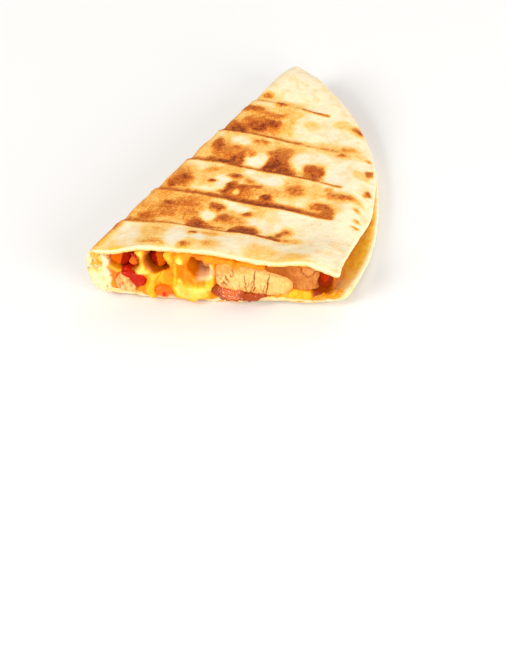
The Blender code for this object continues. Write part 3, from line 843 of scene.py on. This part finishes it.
def near_strand(points, start, end, width):
    """1 on the line from start to end, fading out over the given width."""
    return np.exp(-(strand(points, start, end) / width) ** 2)


# %% [markdown]
# ## Melted cheese
#
# Cheese holds the filling together. At the cut it is pulled out as the wedge comes
# away: a short column, a tent of two legs with a thin sheet between them, blobs where
# it ran down, and a band under the upper layer. Thin strings are pale yellow, thick
# cheese is orange, and the palest lines and blobs are partly painted highlights. The
# hollows and the recess under the wedge get painted shade in dark red-brown. The solid
# has the hollows and the tent's outline. The front of it is remeshed finely, and its
# far end, out of sight between the layers, coarsely.

# %% Splitting the cheese into a fine front and a coarse back
CHEESE_SPLIT = 46.0      # mm from the cut, where the rim has closed


def half_of(piece, y, keep_front):
    shape = bmesh.new()
    shape.from_mesh(piece.data)
    bmesh.ops.remove_doubles(shape, verts=shape.verts, dist=0.002 * MM)
    at = place([0, y, 0])
    everything = shape.verts[:] + shape.edges[:] + shape.faces[:]
    cleared = dict(clear_outer=keep_front, clear_inner=not keep_front)
    bmesh.ops.bisect_plane(shape, geom=everything, plane_co=at, plane_no=(0, 1, 0), **cleared)
    bmesh.ops.triangle_fill(shape, use_beauty=True, edges=[edge for edge in shape.edges if edge.is_boundary])
    print("open edges left:", sum(not edge.is_manifold for edge in shape.edges))
    shape.to_mesh(piece.data)
    shape.free()


cheese = bare_copy("melted_cheese", "melted_cheese_piece")
cheese_back = bare_copy("melted_cheese", "cheese_back")
half_of(cheese, CHEESE_SPLIT, True)
half_of(cheese_back, CHEESE_SPLIT, False)
even_skin(cheese, 0.42, 3)
even_skin(cheese_back, 1.2, 1)
print("cheese:", len(cheese.data.polygons), "fine and", len(cheese_back.data.polygons), "coarse faces")

# %% Strings, blobs and the band: from, to, width, pulled out by, paleness, partly painted highlight
STRINGS = (
    ((33.4, 20.6), (24.6, 9.6), 1.5, 1.4, 0.62), ((24.6, 9.6), (22.4, 2.6), 1.8, 0.9, 0.55),
    ((35.0, 18.0), (32.4, 4.0), 1.6, 0.5, 0.05), ((38.4, 18.8), (41.6, 10.4), 1.5, 1.3, 0.12),
    ((41.6, 10.4), (42.8, 6.4), 1.6, 0.8, 0.25), ((21.4, 20.8), (21.4, 13.6), 1.6, 1.0, 0.85),
    ((22.6, 20.6), (23.2, 13.8), 0.9, 0.2, 0.35), ((19.8, 12.6), (23.4, 12.4), 1.2, 1.0, 0.7),
)
VALLEYS = (
    ((36.8, 17.4), (34.0, 5.4), 1.3, 1.3), ((39.8, 16.0), (38.8, 9.0), 1.0, 0.5),
    ((29.6, 13.0), (26.8, 6.4), 1.2, 0.6),
)
BLOBS = (
    ((37.3, 19.4), (37.3, 18.8), 1.3, 1.5, 0.95), ((34.8, 5.4), (43.2, 5.2), 2.7, 1.1, 0.8),
    ((35.0, 8.4), (35.6, 7.8), 1.2, 0.8, 0.75), ((46.8, 10.8), (46.0, 7.2), 1.8, 1.4, 0.72),
    ((49.0, 16.0), (50.0, 13.6), 1.6, 1.3, 0.4), ((52.0, 17.6), (52.8, 16.4), 1.2, 1.0, 0.3),
    ((10.2, 13.4), (11.8, 12.2), 1.5, 1.0, 0.6), ((9.0, 18.4), (10.2, 15.4), 1.8, 0.6, 0.2),
    ((10.4, 5.6), (12.0, 4.0), 1.3, 0.6, 0.2), ((23.4, 7.0), (24.0, 3.2), 1.4, 0.5, 0.55),
    ((74.0, 5.6), (86.0, 4.6), 2.0, 0.5, 0.42), ((46.4, 17.0), (48.2, 15.4), 1.0, 0.5, 0.8),
)
UNDER_TOP = (
    ((44.0, 20.2), (58.0, 19.0), 1.6, 1.4, 0.05), ((58.0, 19.0), (68.0, 17.8), 1.5, 1.3, 0.0),
    ((12.0, 21.0), (33.0, 22.2), 0.8, 0.4, 0.2),
)
# Pale lines along the strings: painted highlights.
PAINTED_HIGHLIGHT_LINES = (
    ((33.2, 20.6), (24.0, 9.2), 0.55), ((34.6, 19.6), (26.8, 8.4), 0.4), ((35.2, 17.6), (32.4, 5.0), 0.5),
    ((25.4, 8.6), (24.0, 3.0), 0.55), ((22.2, 19.6), (21.4, 14.4), 0.6),
)

points, normal = points_of(cheese), normals_of(cheese)
front = 1 - smooth((points[:, 1] - 2.0) / 9.0)
facing = smooth((-normal[:, 1] + 0.35) / 0.8)
pull, pale = np.zeros(len(points)), np.full(len(points), 0.12)
droop = np.zeros(len(points))
for start, end, width, out, light in STRINGS + BLOBS + UNDER_TOP:
    share = near_strand(points, start, end, width) * front
    pull += out * share
    if (start, end, width, out, light) in UNDER_TOP:
        droop += 0.7 * out * share
    pale = np.maximum(pale, light * smooth(share * 1.3))
for start, end, width, depth in VALLEYS:
    pull -= depth * near_strand(points, start, end, width) * front
tent = front * smooth((points[:, 0] - 23) / 3) * (1 - smooth((points[:, 0] - 43) / 3))
drawn = uneven(points * [1.0, 0.5, 0.30], 1.4, 101) * 0.30 * front * (1 - 0.5 * tent)
lumps = (uneven(points, 2.6, 103) * 0.34 + uneven(points, 0.9, 107) * 0.12) * (1 - 0.7 * tent)
above_sheet = points[:, 2] - lower_bottom(points[:, 0], points[:, 1]) - SHEET
below_sheet = upper_top(points[:, 0], points[:, 1]) - SHEET - points[:, 2]
sag = front * facing * (1 - smooth((above_sheet - 0.3) / 2.0)) * smooth(0.75 + 0.6 * uneven(points, 3.0, 109))
sag *= 1 - 0.75 * bump(points[:, 0], 24.2, 3.0)
climb = front * facing * (1 - smooth((below_sheet - 0.3) / 1.4))
out_of_fold = 0.85 * front * (1 - smooth((points[:, 0] - 6.5) / 4)) * smooth((normal[:, 1] + 0.9) / 0.5)
moved = points + normal * (0.42 + lumps + drawn * 0.6 + out_of_fold)[:, None]
moved += np.outer(pull * facing + 0.7 * sag + 0.4 * climb, (0.0, -1.0, 0.0))
moved += np.outer(0.6 * climb - 1.0 * sag - droop * facing, (0.0, 0.0, 1.0))
settle = front * 0.75 * smooth((points[:, 0] - 85.5) / 5) * np.maximum(above_sheet - 0.6, 0)
moved -= np.outer(settle, (0.0, 0.0, 1.0))
move_points(cheese, moved)
# Paler where lumps and drawn strands stand out, then painted highlights along the strings and a paler patch
# on the left of the tent.
pale = pale + 0.25 * lumps + 0.4 * drawn
for start, end, width in PAINTED_HIGHLIGHT_LINES:
    pale = np.maximum(pale, 0.62 * near_strand(points, start, end, width) * front * facing)
pale = np.maximum(pale, 0.34 * front * bump(points[:, 0], 28.8, 3.0) * bump(points[:, 2], 10, 5))
pale = np.clip(pale, 0, 1)


# %% Painted shade in the cheese's hollows and recesses: x, z, half width, half height, share
HOLLOW_SHADE = (
    (15.2, 17.0, 6.8, 5.8, 0.78), (28.4, 17.0, 5.9, 5.6, 0.8), (43.2, 15.4, 5.2, 5.4, 0.34),
    (90.5, 11.6, 9.8, 5.0, 0.9),
)


def hollow_share(x, z, half_width, half_height):
    """1 inside a hollow, from just behind the face of the cut."""
    away = np.hypot((points[:, 0] - x) / half_width, (points[:, 2] - z) / half_height)
    return (1 - smooth((away - 0.88) / 0.24)) * smooth(points[:, 1] / 1.2)


# Painted shade on the cheese: dark red-brown in the hollows, in a crease by the fold, in the recess under the
# wedge and on inner faces turned from the cut.
dark = np.zeros(len(points))
for x, z, half_width, half_height, share in HOLLOW_SHADE:
    dark = np.maximum(dark, share * hollow_share(x, z, half_width, half_height))
dark = np.maximum(dark, 0.30 * near_strand(points, (9.6, 10.5), (11.0, 5.0), 1.6) * front)
under_wedge = near_strand(points, (86.0, 6.8), (91.6, 8.8), 1.9)
dark = np.maximum(dark, 0.95 * smooth(1.5 * under_wedge) * front)
dark = np.maximum(dark, 0.6 * front * (1 - facing) * smooth((points[:, 1] - 0.2) / 0.9))
pale = pale * (1 - 0.8 * smooth(dark))
# Bready white at the fold by the cut, partly a painted highlight where the brightly lit fold end looks near
# white. In hollow 3 it lightens the painted shade to a pale brown.
by_fold = 1 - smooth((points[:, 0] - 7.0 - 1.0 * uneven(points, 2.0, 131)) / 1.8)
bread = front * by_fold * (1 - smooth((points[:, 2] - 16.5) / 3))
bread = np.maximum(bread, 0.5 * hollow_share(44.6, 14.6, 4.4, 5.0))

# %% The material of the cheese
CHEDDAR_STOPS = (
    (0.0, screen(250, 132, 0)), (0.3, screen(255, 156, 0)), (0.6, screen(255, 192, 34)),
    (1.0, screen(255, 230, 120)),
)


def cheese_material():
    made, tree, surface = new_material("melted_cheddar")
    pale, dark, bread = read(tree, "pale"), read(tree, "dark"), read(tree, "bread")
    fine, fine_height = grain(tree, 0.7)
    coarse, coarse_height = grain(tree, 2.6)
    # Paleness, partly painted highlight, picks the cheese colour.
    mixed = math(tree, "MULTIPLY_ADD", coarse, 0.22, math(tree, "ADD", pale, -0.10), clamp=True)
    colour = ramp(tree, mixed, CHEDDAR_STOPS)
    # Painted shade: the colour goes towards dark red-brown in the hollows and recesses.
    deepened = blend_colour(tree, dark, colour, screen(146, 46, 2))
    # Bready white at the fold, partly a painted highlight of the brightly lit fold end.
    milky = blend_colour(tree, math(tree, "MULTIPLY", bread, 0.92), deepened, screen(255, 248, 196))
    tree.links.new(milky, surface.inputs["Base Color"])
    tree.links.new(span(tree, fine, 0.0, 1.0, 0.34, 0.24), surface.inputs["Roughness"])
    let_light_in(surface, 0.22, 0.25, (1.0, 0.5, 0.12), 1.8)
    relief(tree, surface, math(tree, "ADD", fine_height, coarse_height), 0.25)
    return made


def join(piece, other):
    shape = bmesh.new()
    shape.from_mesh(piece.data)
    shape.from_mesh(other.data)
    shape.to_mesh(piece.data)
    shape.free()
    bpy.data.objects.remove(other)


CHEDDAR = cheese_material()
join(cheese, cheese_back)
rest = len(cheese.data.vertices) - len(points)
for key, values in (("pale", pale), ("dark", dark), ("bread", bread)):
    paint(cheese, key, np.concatenate([values, np.zeros(rest)]))
cheese.data.materials.append(CHEDDAR)
cheese.data.shade_smooth()
belongs(cheese, "melted_cheese")

# %% [markdown]
# ## Chicken
#
# Cooked breast is a bundle of fibres. Cut across, it shows short upright fibres with
# fissures where they part, and it crumbles along its lower edge. The fibres are noise
# stretched along their run, the fissures are lines sunk into the face.

# %% The material of the chicken
def chicken_material(name, light, middle, low):
    made, tree, surface = new_material(name)
    deep, shade = read(tree, "deep"), read(tree, "shade")
    threads, thread_height = grain(tree, 0.5, (1.0, 0.6, 0.22))
    coarse, coarse_height = grain(tree, 2.2)
    # Cheese stain and painted shade darken the flesh.
    stranded = math(tree, "MULTIPLY_ADD", threads, 0.30, shade)
    mixed = math(tree, "MULTIPLY_ADD", coarse, 0.24, stranded, clamp=True)
    flesh = ramp(tree, mixed, ((0.0, screen(*light)), (0.5, screen(*middle)), (1.0, screen(*low))))
    # Brown in the fissures is painted shade. Reddish crumbs and mottling take the same colour.
    fissure = blend_colour(tree, deep, flesh, screen(190, 92, 24))
    tree.links.new(fissure, surface.inputs["Base Color"])
    tree.links.new(span(tree, threads, 0.0, 1.0, 0.58, 0.42), surface.inputs["Roughness"])
    let_light_in(surface, 0.2, 0.15, (1.0, 0.55, 0.3), 1.5)
    relief(tree, surface, math(tree, "ADD", thread_height, coarse_height), 0.35)
    return made


BREAST = chicken_material("chicken_breast", (253, 212, 138), (248, 188, 102), (232, 152, 66))
PINK = chicken_material("pink_chicken", (255, 210, 140), (250, 182, 104), (230, 138, 62))
# A darker copy of the chicken colours: painted shade for the slice under the upper layer.
SHADED = chicken_material("chicken_in_the_shade", (232, 166, 90), (204, 118, 44), (174, 86, 8))

# %% Fissures of the strip: from, to, width, depth
FISSURES = (
    ((55.2, 15.0), (55.6, 12.6), 0.26, 0.9), ((57.0, 17.2), (56.0, 12.8), 0.24, 0.8),
    ((60.8, 13.6), (60.0, 6.6), 0.26, 1.1), ((61.8, 10.6), (60.6, 7.6), 0.2, 0.7),
    ((64.8, 15.6), (63.0, 7.0), 0.26, 1.1), ((63.2, 11.4), (61.8, 6.6), 0.22, 0.8),
    ((66.0, 9.8), (65.6, 6.8), 0.2, 0.5), ((69.9, 14.6), (67.8, 6.6), 0.26, 1.1),
    ((67.8, 9.8), (66.4, 6.8), 0.22, 0.7), ((53.2, 13.2), (54.2, 10.6), 0.45, 0.9),
    ((52.0, 11.0), (53.2, 8.8), 0.3, 0.6), ((58.4, 11.4), (57.8, 8.4), 0.18, 0.4),
)
CRUMBLED = ((51.4, 13.4), (52.6, 9.2), 1.5)        # reddish crumbs at the strip's left end


def dress_chicken(node_name, material, voxel, fissures=(), ragged=0.35, shade=None, frayed=0.0, mottled=0.0):
    piece = fine_copy(node_name, node_name + "_piece", voxel)
    points, normal = points_of(piece), normals_of(piece)
    fibre = uneven(points * [1.0, 0.5, 0.28], 0.9, 111) * ragged * 0.6
    chunk = uneven(points, 2.4, 113) * ragged + uneven(points, 0.8, 115) * 0.3 * ragged
    level = np.zeros(len(points))
    bent = points + np.stack([uneven(points, 1.6, 117), level, uneven(points, 2.0, 119)], axis=1) * 0.45
    sink = np.zeros(len(points))
    for start, end, width, depth in fissures:
        sink = np.maximum(sink, depth * near_strand(bent, start, end, 0.85 * width))
    sink *= smooth((-normal[:, 1] + 0.2) / 0.6)
    low = points[:, 2] - points[:, 2].min() - 0.12 * np.abs(points[:, 0] - 70)
    hang = frayed * (1 - smooth(low / 3.0)) * smooth(0.4 + uneven(points * [1.0, 0.4, 0.15], 0.8, 133))
    moved = points + normal * (0.34 + fibre + chunk)[:, None]
    move_points(piece, moved + np.outer(sink, (0, 1, 0)) - np.outer(hang, (0, 0, 1)))
    reddish = near_strand(points, *CRUMBLED) * smooth(0.55 + 1.8 * uneven(points, 0.9, 135))
    mottle = mottled * smooth(0.3 + 2.2 * uneven(points, 1.0, 137))
    # Painted shade in the sunk fissures, with reddish crumbs and mottling as the meat's own colour.
    paint(piece, "deep", np.clip(smooth(sink / 1.0) * 0.65 + 0.9 * reddish * (frayed > 0) + mottle, 0, 1))
    # Cheese stain and painted shade from the given function, less where fibres and lumps stand out.
    stain_and_shade_level = shade(points[:, 0], points[:, 2]) if shade else 0.1
    paint(piece, "shade", np.clip(stain_and_shade_level - 0.5 * (fibre + chunk), 0, 1))
    piece.data.materials.append(material)
    belongs(piece, node_name)


def slice_shade(x, z):
    """Painted shade: darker and smoother on the left, where the slice lies in the shadow of the upper layer,
    pale in the triangle between the two cracks.
    """
    triangle = bump(x, 84.6, 2.2) * bump(z, 14.8, 1.5)
    return 0.75 - 0.55 * smooth((x - 74) / 8) - 0.5 * triangle


def strip_stain_and_shade(x, z):
    """Stained by cheese along its upper left, cream in the middle, with painted shade along the underside and
    darker towards the right end.
    """
    stained = smooth((z - 13.6) / 2.6) * (1 - smooth((x - 58) / 10))
    return 0.05 + 0.55 * stained + 0.40 * smooth((8.6 - z) / 2.4) + 0.22 * smooth((x - 72) / 5)


V_CRACK = (((81.6, 16.4), (83.4, 12.6), 0.4, 1.3), ((83.4, 12.6), (88.4, 15.2), 0.3, 1.0))
dress_chicken("chicken_strip", BREAST, 0.24, FISSURES, 0.24, strip_stain_and_shade, 0.7)
dress_chicken("chicken_slice", SHADED, 0.34, V_CRACK, 0.12, slice_shade)
dress_chicken("chicken_piece", PINK, 0.22, (), 0.60, lambda x, z: 0.20, 0.0, 0.5)
# Painted shade on the chunk's left side, inside hollow 3.
dress_chicken("chicken_chunk", PINK, 0.34, (), 0.20, lambda x, z: 0.5 - 0.4 * smooth((x - 45) / 4))

# %% [markdown]
# ## Tomato and pepper
#
# Cooked tomato is wet and soft: red flesh with paler pulp and seeds, shiny where the
# juice stands. Its small pale specks are pulp and painted glints. Pepper is smoother,
# with dark red skin on one side and orange flesh on the other. Both use one material
# recipe with their own colours, and a painted mask says where skin or pulp shows, and
# where the shaded wedge is lighter on top.

# %% The material of wet vegetables
def wet_material(name, flesh, second, gleam, coat, pulp_and_glints=0.0):
    made, tree, surface = new_material(name)
    mask = read(tree, "second")
    fine, fine_height = grain(tree, 0.6)
    coarse, coarse_height = grain(tree, 1.8)
    share = span(tree, math(tree, "MULTIPLY_ADD", coarse, 0.4, math(tree, "ADD", mask, -0.2)), 0.25, 0.65)
    colour = blend_colour(tree, share, screen(*flesh), screen(*second))
    light = math(tree, "MULTIPLY", fine, 0.30)
    spotted = blend_colour(tree, light, colour, screen(255, 186, 110), "SOFT_LIGHT")
    # Pale specks: pulp, and painted glints where wet tomato would catch the light.
    specks = math(tree, "MULTIPLY", span(tree, grain(tree, 0.45)[1], 0.58, 0.66), pulp_and_glints)
    pulp_and_glint_specks = math(tree, "MULTIPLY", specks, math(tree, "ADD", share, 0.25), clamp=True)
    strewn = blend_colour(tree, pulp_and_glint_specks, spotted, screen(255, 226, 206))
    tree.links.new(strewn, surface.inputs["Base Color"])
    tree.links.new(span(tree, coarse, 0.0, 1.0, gleam + 0.12, gleam), surface.inputs["Roughness"])
    let_light_in(surface, 0.3 * coat, 0.10, (1.0, 0.25, 0.1), 1.8)
    surface.inputs["Coat Weight"].default_value = coat
    surface.inputs["Coat Roughness"].default_value = 0.08
    relief(tree, surface, math(tree, "ADD", fine_height, coarse_height), 0.3)
    return made


def dress_wet(node_name, slot, material, voxel, second, lumpy):
    piece = fine_copy(node_name, node_name + "_piece", voxel)
    points, normal = points_of(piece), normals_of(piece)
    lift = 0.32 + lumpy * uneven(points, 1.8, 121) + 0.4 * lumpy * uneven(points, 0.7, 123)
    move_points(piece, points + normal * lift[:, None])
    paint(piece, "second", np.clip(second(*points.T), 0, 1))
    piece.data.materials.append(material)
    belongs(piece, node_name)


RIPE = wet_material("ripe_tomato", (190, 28, 0), (222, 84, 6), 0.10, 0.18, 0.3)
STEWED = wet_material("stewed_tomato", (162, 64, 0), (214, 106, 52), 0.16, 0.20, 0.9)
# A darker tomato: painted shade for the wedge down in the recess.
DARKER = wet_material("tomato_in_the_shade", (128, 34, 0), (172, 42, 0), 0.24, 0.04)
SEEDY = wet_material("seedy_pulp", (244, 112, 10), (206, 30, 2), 0.22, 0.2, 0.3)
SKINNED = wet_material("pepper_skin_and_flesh", (222, 100, 2), (150, 24, 0), 0.22, 0.04)

# %% Where pulp or skin shows, and where the shaded wedge is lighter: node, slot, material, voxel, its place, unevenness
def pink_pulp(x, y, z):
    return 1.2 * bump(x, 54.6, 3.4) * smooth((z - 3.0) / 2.0) * smooth(y / -0.5 + 3)


def dark_seeds(x, y, z):
    return 0.95 * bump(x, 28.9, 1.1) * bump(z, 4.4, 1.1)


def dark_skin(x, y, z):
    return smooth((x - 12.8 - 0.35 * (z - 15.0)) / 1.4)


WET_PIECES = (
    ("tomato_piece", "tomato", RIPE, 0.28, lambda x, y, z: 0.12 + 0.7 * smooth((12.6 - x) / 1.2), 0.25),
    ("tomato_chunk", "tomato", STEWED, 0.24, pink_pulp, 0.5),
    # The wedge's top gets the lighter red: less painted shade there.
    ("tomato_wedge", "tomato", DARKER, 0.28, lambda x, y, z: smooth((z - 11.4 + 0.3 * (x - 91)) / 2.4), 0.25),
    ("tomato_bit", "tomato", SEEDY, 0.24, lambda x, y, z: 0.45 * smooth((z - 15.5) / 2.0) + 0.15, 0.45),
    ("tomato_corner", "tomato", SEEDY, 0.24, dark_seeds, 0.35),
    ("pepper_strip", "pepper", SKINNED, 0.28, dark_skin, 0.25),
    ("pepper_piece", "pepper", SKINNED, 0.28, lambda x, y, z: smooth((27.9 - x) / 1.8), 0.25),
)
for dressing in WET_PIECES:
    dress_wet(*dressing)

# %% [markdown]
# ## Loose crumbs and froth
#
# Where the cheese boiled out it left a froth of small bubbles on the lower layer by
# the open corner. Soaked crumb fills the fold at the cut, and bits of chicken broke off
# under the strip. Each kind is one mesh: small lumps are scattered with a seeded
# generator, a voxel remesh fuses those that touch, and uneven pushing ends their
# roundness.

# %% Scattered lumps
def dabs(name, centres, sizes, material, voxel, seed, attributes):
    """One mesh of small uneven lumps at the given places, sizes in mm."""
    made = bpy.data.objects.new(name, bpy.data.meshes.new(name))
    shape = bmesh.new()
    for centre, size in zip(centres, sizes):
        grown = bmesh.ops.create_icosphere(shape, subdivisions=2, radius=1.0)["verts"]
        bmesh.ops.scale(shape, vec=Vector(size) * MM, verts=grown)
        bmesh.ops.translate(shape, vec=Vector(place(centre)), verts=grown)
    shape.to_mesh(made.data)
    shape.free()
    bpy.context.scene.collection.objects.link(made)
    even_skin(made, voxel, 1)
    points, normal = points_of(made), normals_of(made)
    lift = 0.22 * uneven(points, 1.0, seed) + 0.10 * uneven(points, 0.4, seed + 2)
    move_points(made, points + normal * lift[:, None])
    for key, value in attributes.items():
        value = value(points[:, 2]) if callable(value) else value
        paint(made, key, np.clip(value + 0.25 * uneven(points, 1.2, seed + 4), 0, 1))
    made.data.materials.append(material)
    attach(made, "root")
    print(name, "has", len(made.data.polygons), "faces")


scatter = np.random.default_rng(5)


def lump_sizes(count, small, big, uneven_share, proportions=(1.0, 1.0, 1.0)):
    """Sizes of count lumps in mm, each drawn out a little by chance."""
    wide = scatter.uniform(small, big, (count, 1))
    return wide * scatter.uniform(1 - uneven_share, 1 + uneven_share, (count, 3)) * proportions


# %% Froth at the open corner
ALONG_CUT, IN_CORNER = 26, 12
x = np.concatenate([scatter.uniform(84.0, 94.0, ALONG_CUT), scatter.uniform(91.5, 94.6, IN_CORNER)])
y = np.concatenate([0.2 + scatter.exponential(0.7, ALONG_CUT), scatter.uniform(0.5, 3.0, IN_CORNER)])
size = lump_sizes(ALONG_CUT + IN_CORNER, 0.8, 1.7, 0.2, (1.1, 0.9, 0.6))
z = lower_bottom(x, y) + SHEET + 0.10
froth = {"pale": 0.26, "dark": 0.0, "bread": 0.0}
dabs("cheese_froth", np.stack([x, y, z], axis=1), size, CHEDDAR, 0.20, 141, froth)

# %% Soaked crumb in the fold
IN_FOLD = 44
turn = scatter.uniform(-1.35, 1.30, IN_FOLD)
out = scatter.uniform(0.15, 0.97, IN_FOLD)
x0, run, rise, middle_height = bend(0.3)
x = x0 - run * out * np.cos(turn)
z = middle_height + rise * np.sin(turn) * (0.55 + 0.40 * out)
y = 0.55 + scatter.normal(0, 0.12, IN_FOLD) + 0.4 * (out < 0.5)
size = lump_sizes(IN_FOLD, 0.9, 1.7, 0.2, (1.0, 0.55, 1.0))
soaked = {"pale": lambda z: 0.36 + 0.26 * (1 - smooth((z - 10.5) / 4)), "dark": 0.0}
# The lower crumbs are whiter: bready, and partly a painted highlight of the brightly lit fold end.
soaked["bread"] = lambda z: 0.14 + 0.72 * (1 - smooth((z - 9.5) / 5))
dabs("soaked_crumb", np.stack([x, y, z], axis=1), size, CHEDDAR, 0.26, 161, soaked)

# %% Crumbs of chicken, most of them under the strip
UNDER_STRIP, AT_END, STRIP_START = 22, 12, 53.4
CRUMBS = UNDER_STRIP + AT_END
x = np.concatenate([scatter.uniform(53, 76, UNDER_STRIP), scatter.uniform(50.2, STRIP_START, AT_END)])
low_edge = 6.9 - 0.03 * (x - 60) + scatter.normal(0, 0.35, CRUMBS)
z = np.where(x > STRIP_START, low_edge, scatter.uniform(8.6, 13.0, CRUMBS))
y = np.where(x > STRIP_START, -0.9, -0.4) + scatter.normal(0, 0.2, CRUMBS)
size = lump_sizes(CRUMBS, 0.25, 0.6, 0.3)
breast = {"deep": 0.25, "shade": 0.2}
dabs("chicken_crumbs", np.stack([x, y, z], axis=1), size, BREAST, 0.14, 151, breast)

# %% [markdown]
# ## Floor, light and camera
#
# A plain pale floor and soft lights suit food: one from the front left and one from
# the front right light the cut, a faint one behind lifts the tip, and a low one at the
# side reaches into the open rim. The camera is far away with a long lens and looks down
# at the cut, turned and rolled a little, so that the cut runs downhill to the right.

# %% Floor
floor_mesh = bpy.data.meshes.new("floor")
floor_shape = bmesh.new()
bmesh.ops.create_grid(floor_shape, x_segments=8, y_segments=8, size=3.0)
floor_shape.to_mesh(floor_mesh)
floor_shape.free()
floor = bpy.data.objects.new("floor", floor_mesh)
floor.location.z = -0.0003
bpy.context.scene.collection.objects.link(floor)
made, tree, surface = new_material("pale_floor")
surface.inputs["Base Color"].default_value = screen(247, 246, 244)
surface.inputs["Roughness"].default_value = 0.8
floor_mesh.materials.append(made)

# %% Camera
AZIMUTH, ELEVATION, ROLL = np.radians(27.0), np.radians(38.0), np.radians(14.0)
LENS, SENSOR = 1000.0, 36.0
VIEW_HEIGHT = 0.2301           # metres that fill the view's longer side at the food
right = np.array([np.cos(AZIMUTH), np.sin(AZIMUTH), 0.0])
ahead = np.array([-np.sin(AZIMUTH), np.cos(AZIMUTH), 0.0])
back = np.array([0.0, 0.0, np.sin(ELEVATION)]) - ahead * np.cos(ELEVATION)
up = np.cross(back, right)
across_view = right * np.cos(ROLL) - up * np.sin(ROLL)
up_view = right * np.sin(ROLL) + up * np.cos(ROLL)
aim = place([0, 0, 10.5]) + across_view * 0.0588 - up_view * 0.0188
eye = aim + back * VIEW_HEIGHT * LENS / SENSOR
camera_data = bpy.data.cameras.new("camera")
camera_data.lens, camera_data.sensor_width = LENS, SENSOR
camera_data.sensor_fit = "AUTO"
camera_data.clip_start, camera_data.clip_end = 0.1, 60.0
camera = bpy.data.objects.new("camera", camera_data)
axes = np.stack([across_view, up_view, back, eye], axis=1)
camera.matrix_world = Matrix(axes.tolist() + [[0, 0, 0, 1]])
bpy.context.scene.collection.objects.link(camera)
bpy.context.scene.camera = camera
print("camera at", np.round(eye, 3))


# %% Lights
def soft_light(name, at, size, power, colour=(1, 1, 1)):
    lamp = bpy.data.lights.new(name, "AREA")
    lamp.shape, lamp.size, lamp.energy, lamp.color = "SQUARE", size, power, colour
    made = bpy.data.objects.new(name, lamp)
    made.location = at
    aim_at = Vector((0, 0, 0.01)) - made.location
    made.visible_camera = False
    made.rotation_euler = aim_at.to_track_quat("-Z", "Y").to_euler()
    bpy.context.scene.collection.objects.link(made)


soft_light("key", (-0.70, -0.75, 0.85), 0.7, 8.9, (1.0, 0.98, 0.95))
soft_light("fill", (1.0, -0.75, 0.40), 0.8, 10.6)
soft_light("back", (0.2, 1.0, 0.9), 0.8, 2.0)
soft_light("side", (1.15, 0.2, 0.20), 0.6, 3.2)
world = bpy.data.worlds.new("studio")
world.use_nodes = True
world.node_tree.nodes["Background"].inputs[0].default_value = (1, 1, 1, 1)
world.node_tree.nodes["Background"].inputs[1].default_value = 0.56
bpy.context.scene.world = world
bpy.context.scene.view_settings.view_transform = "Standard"
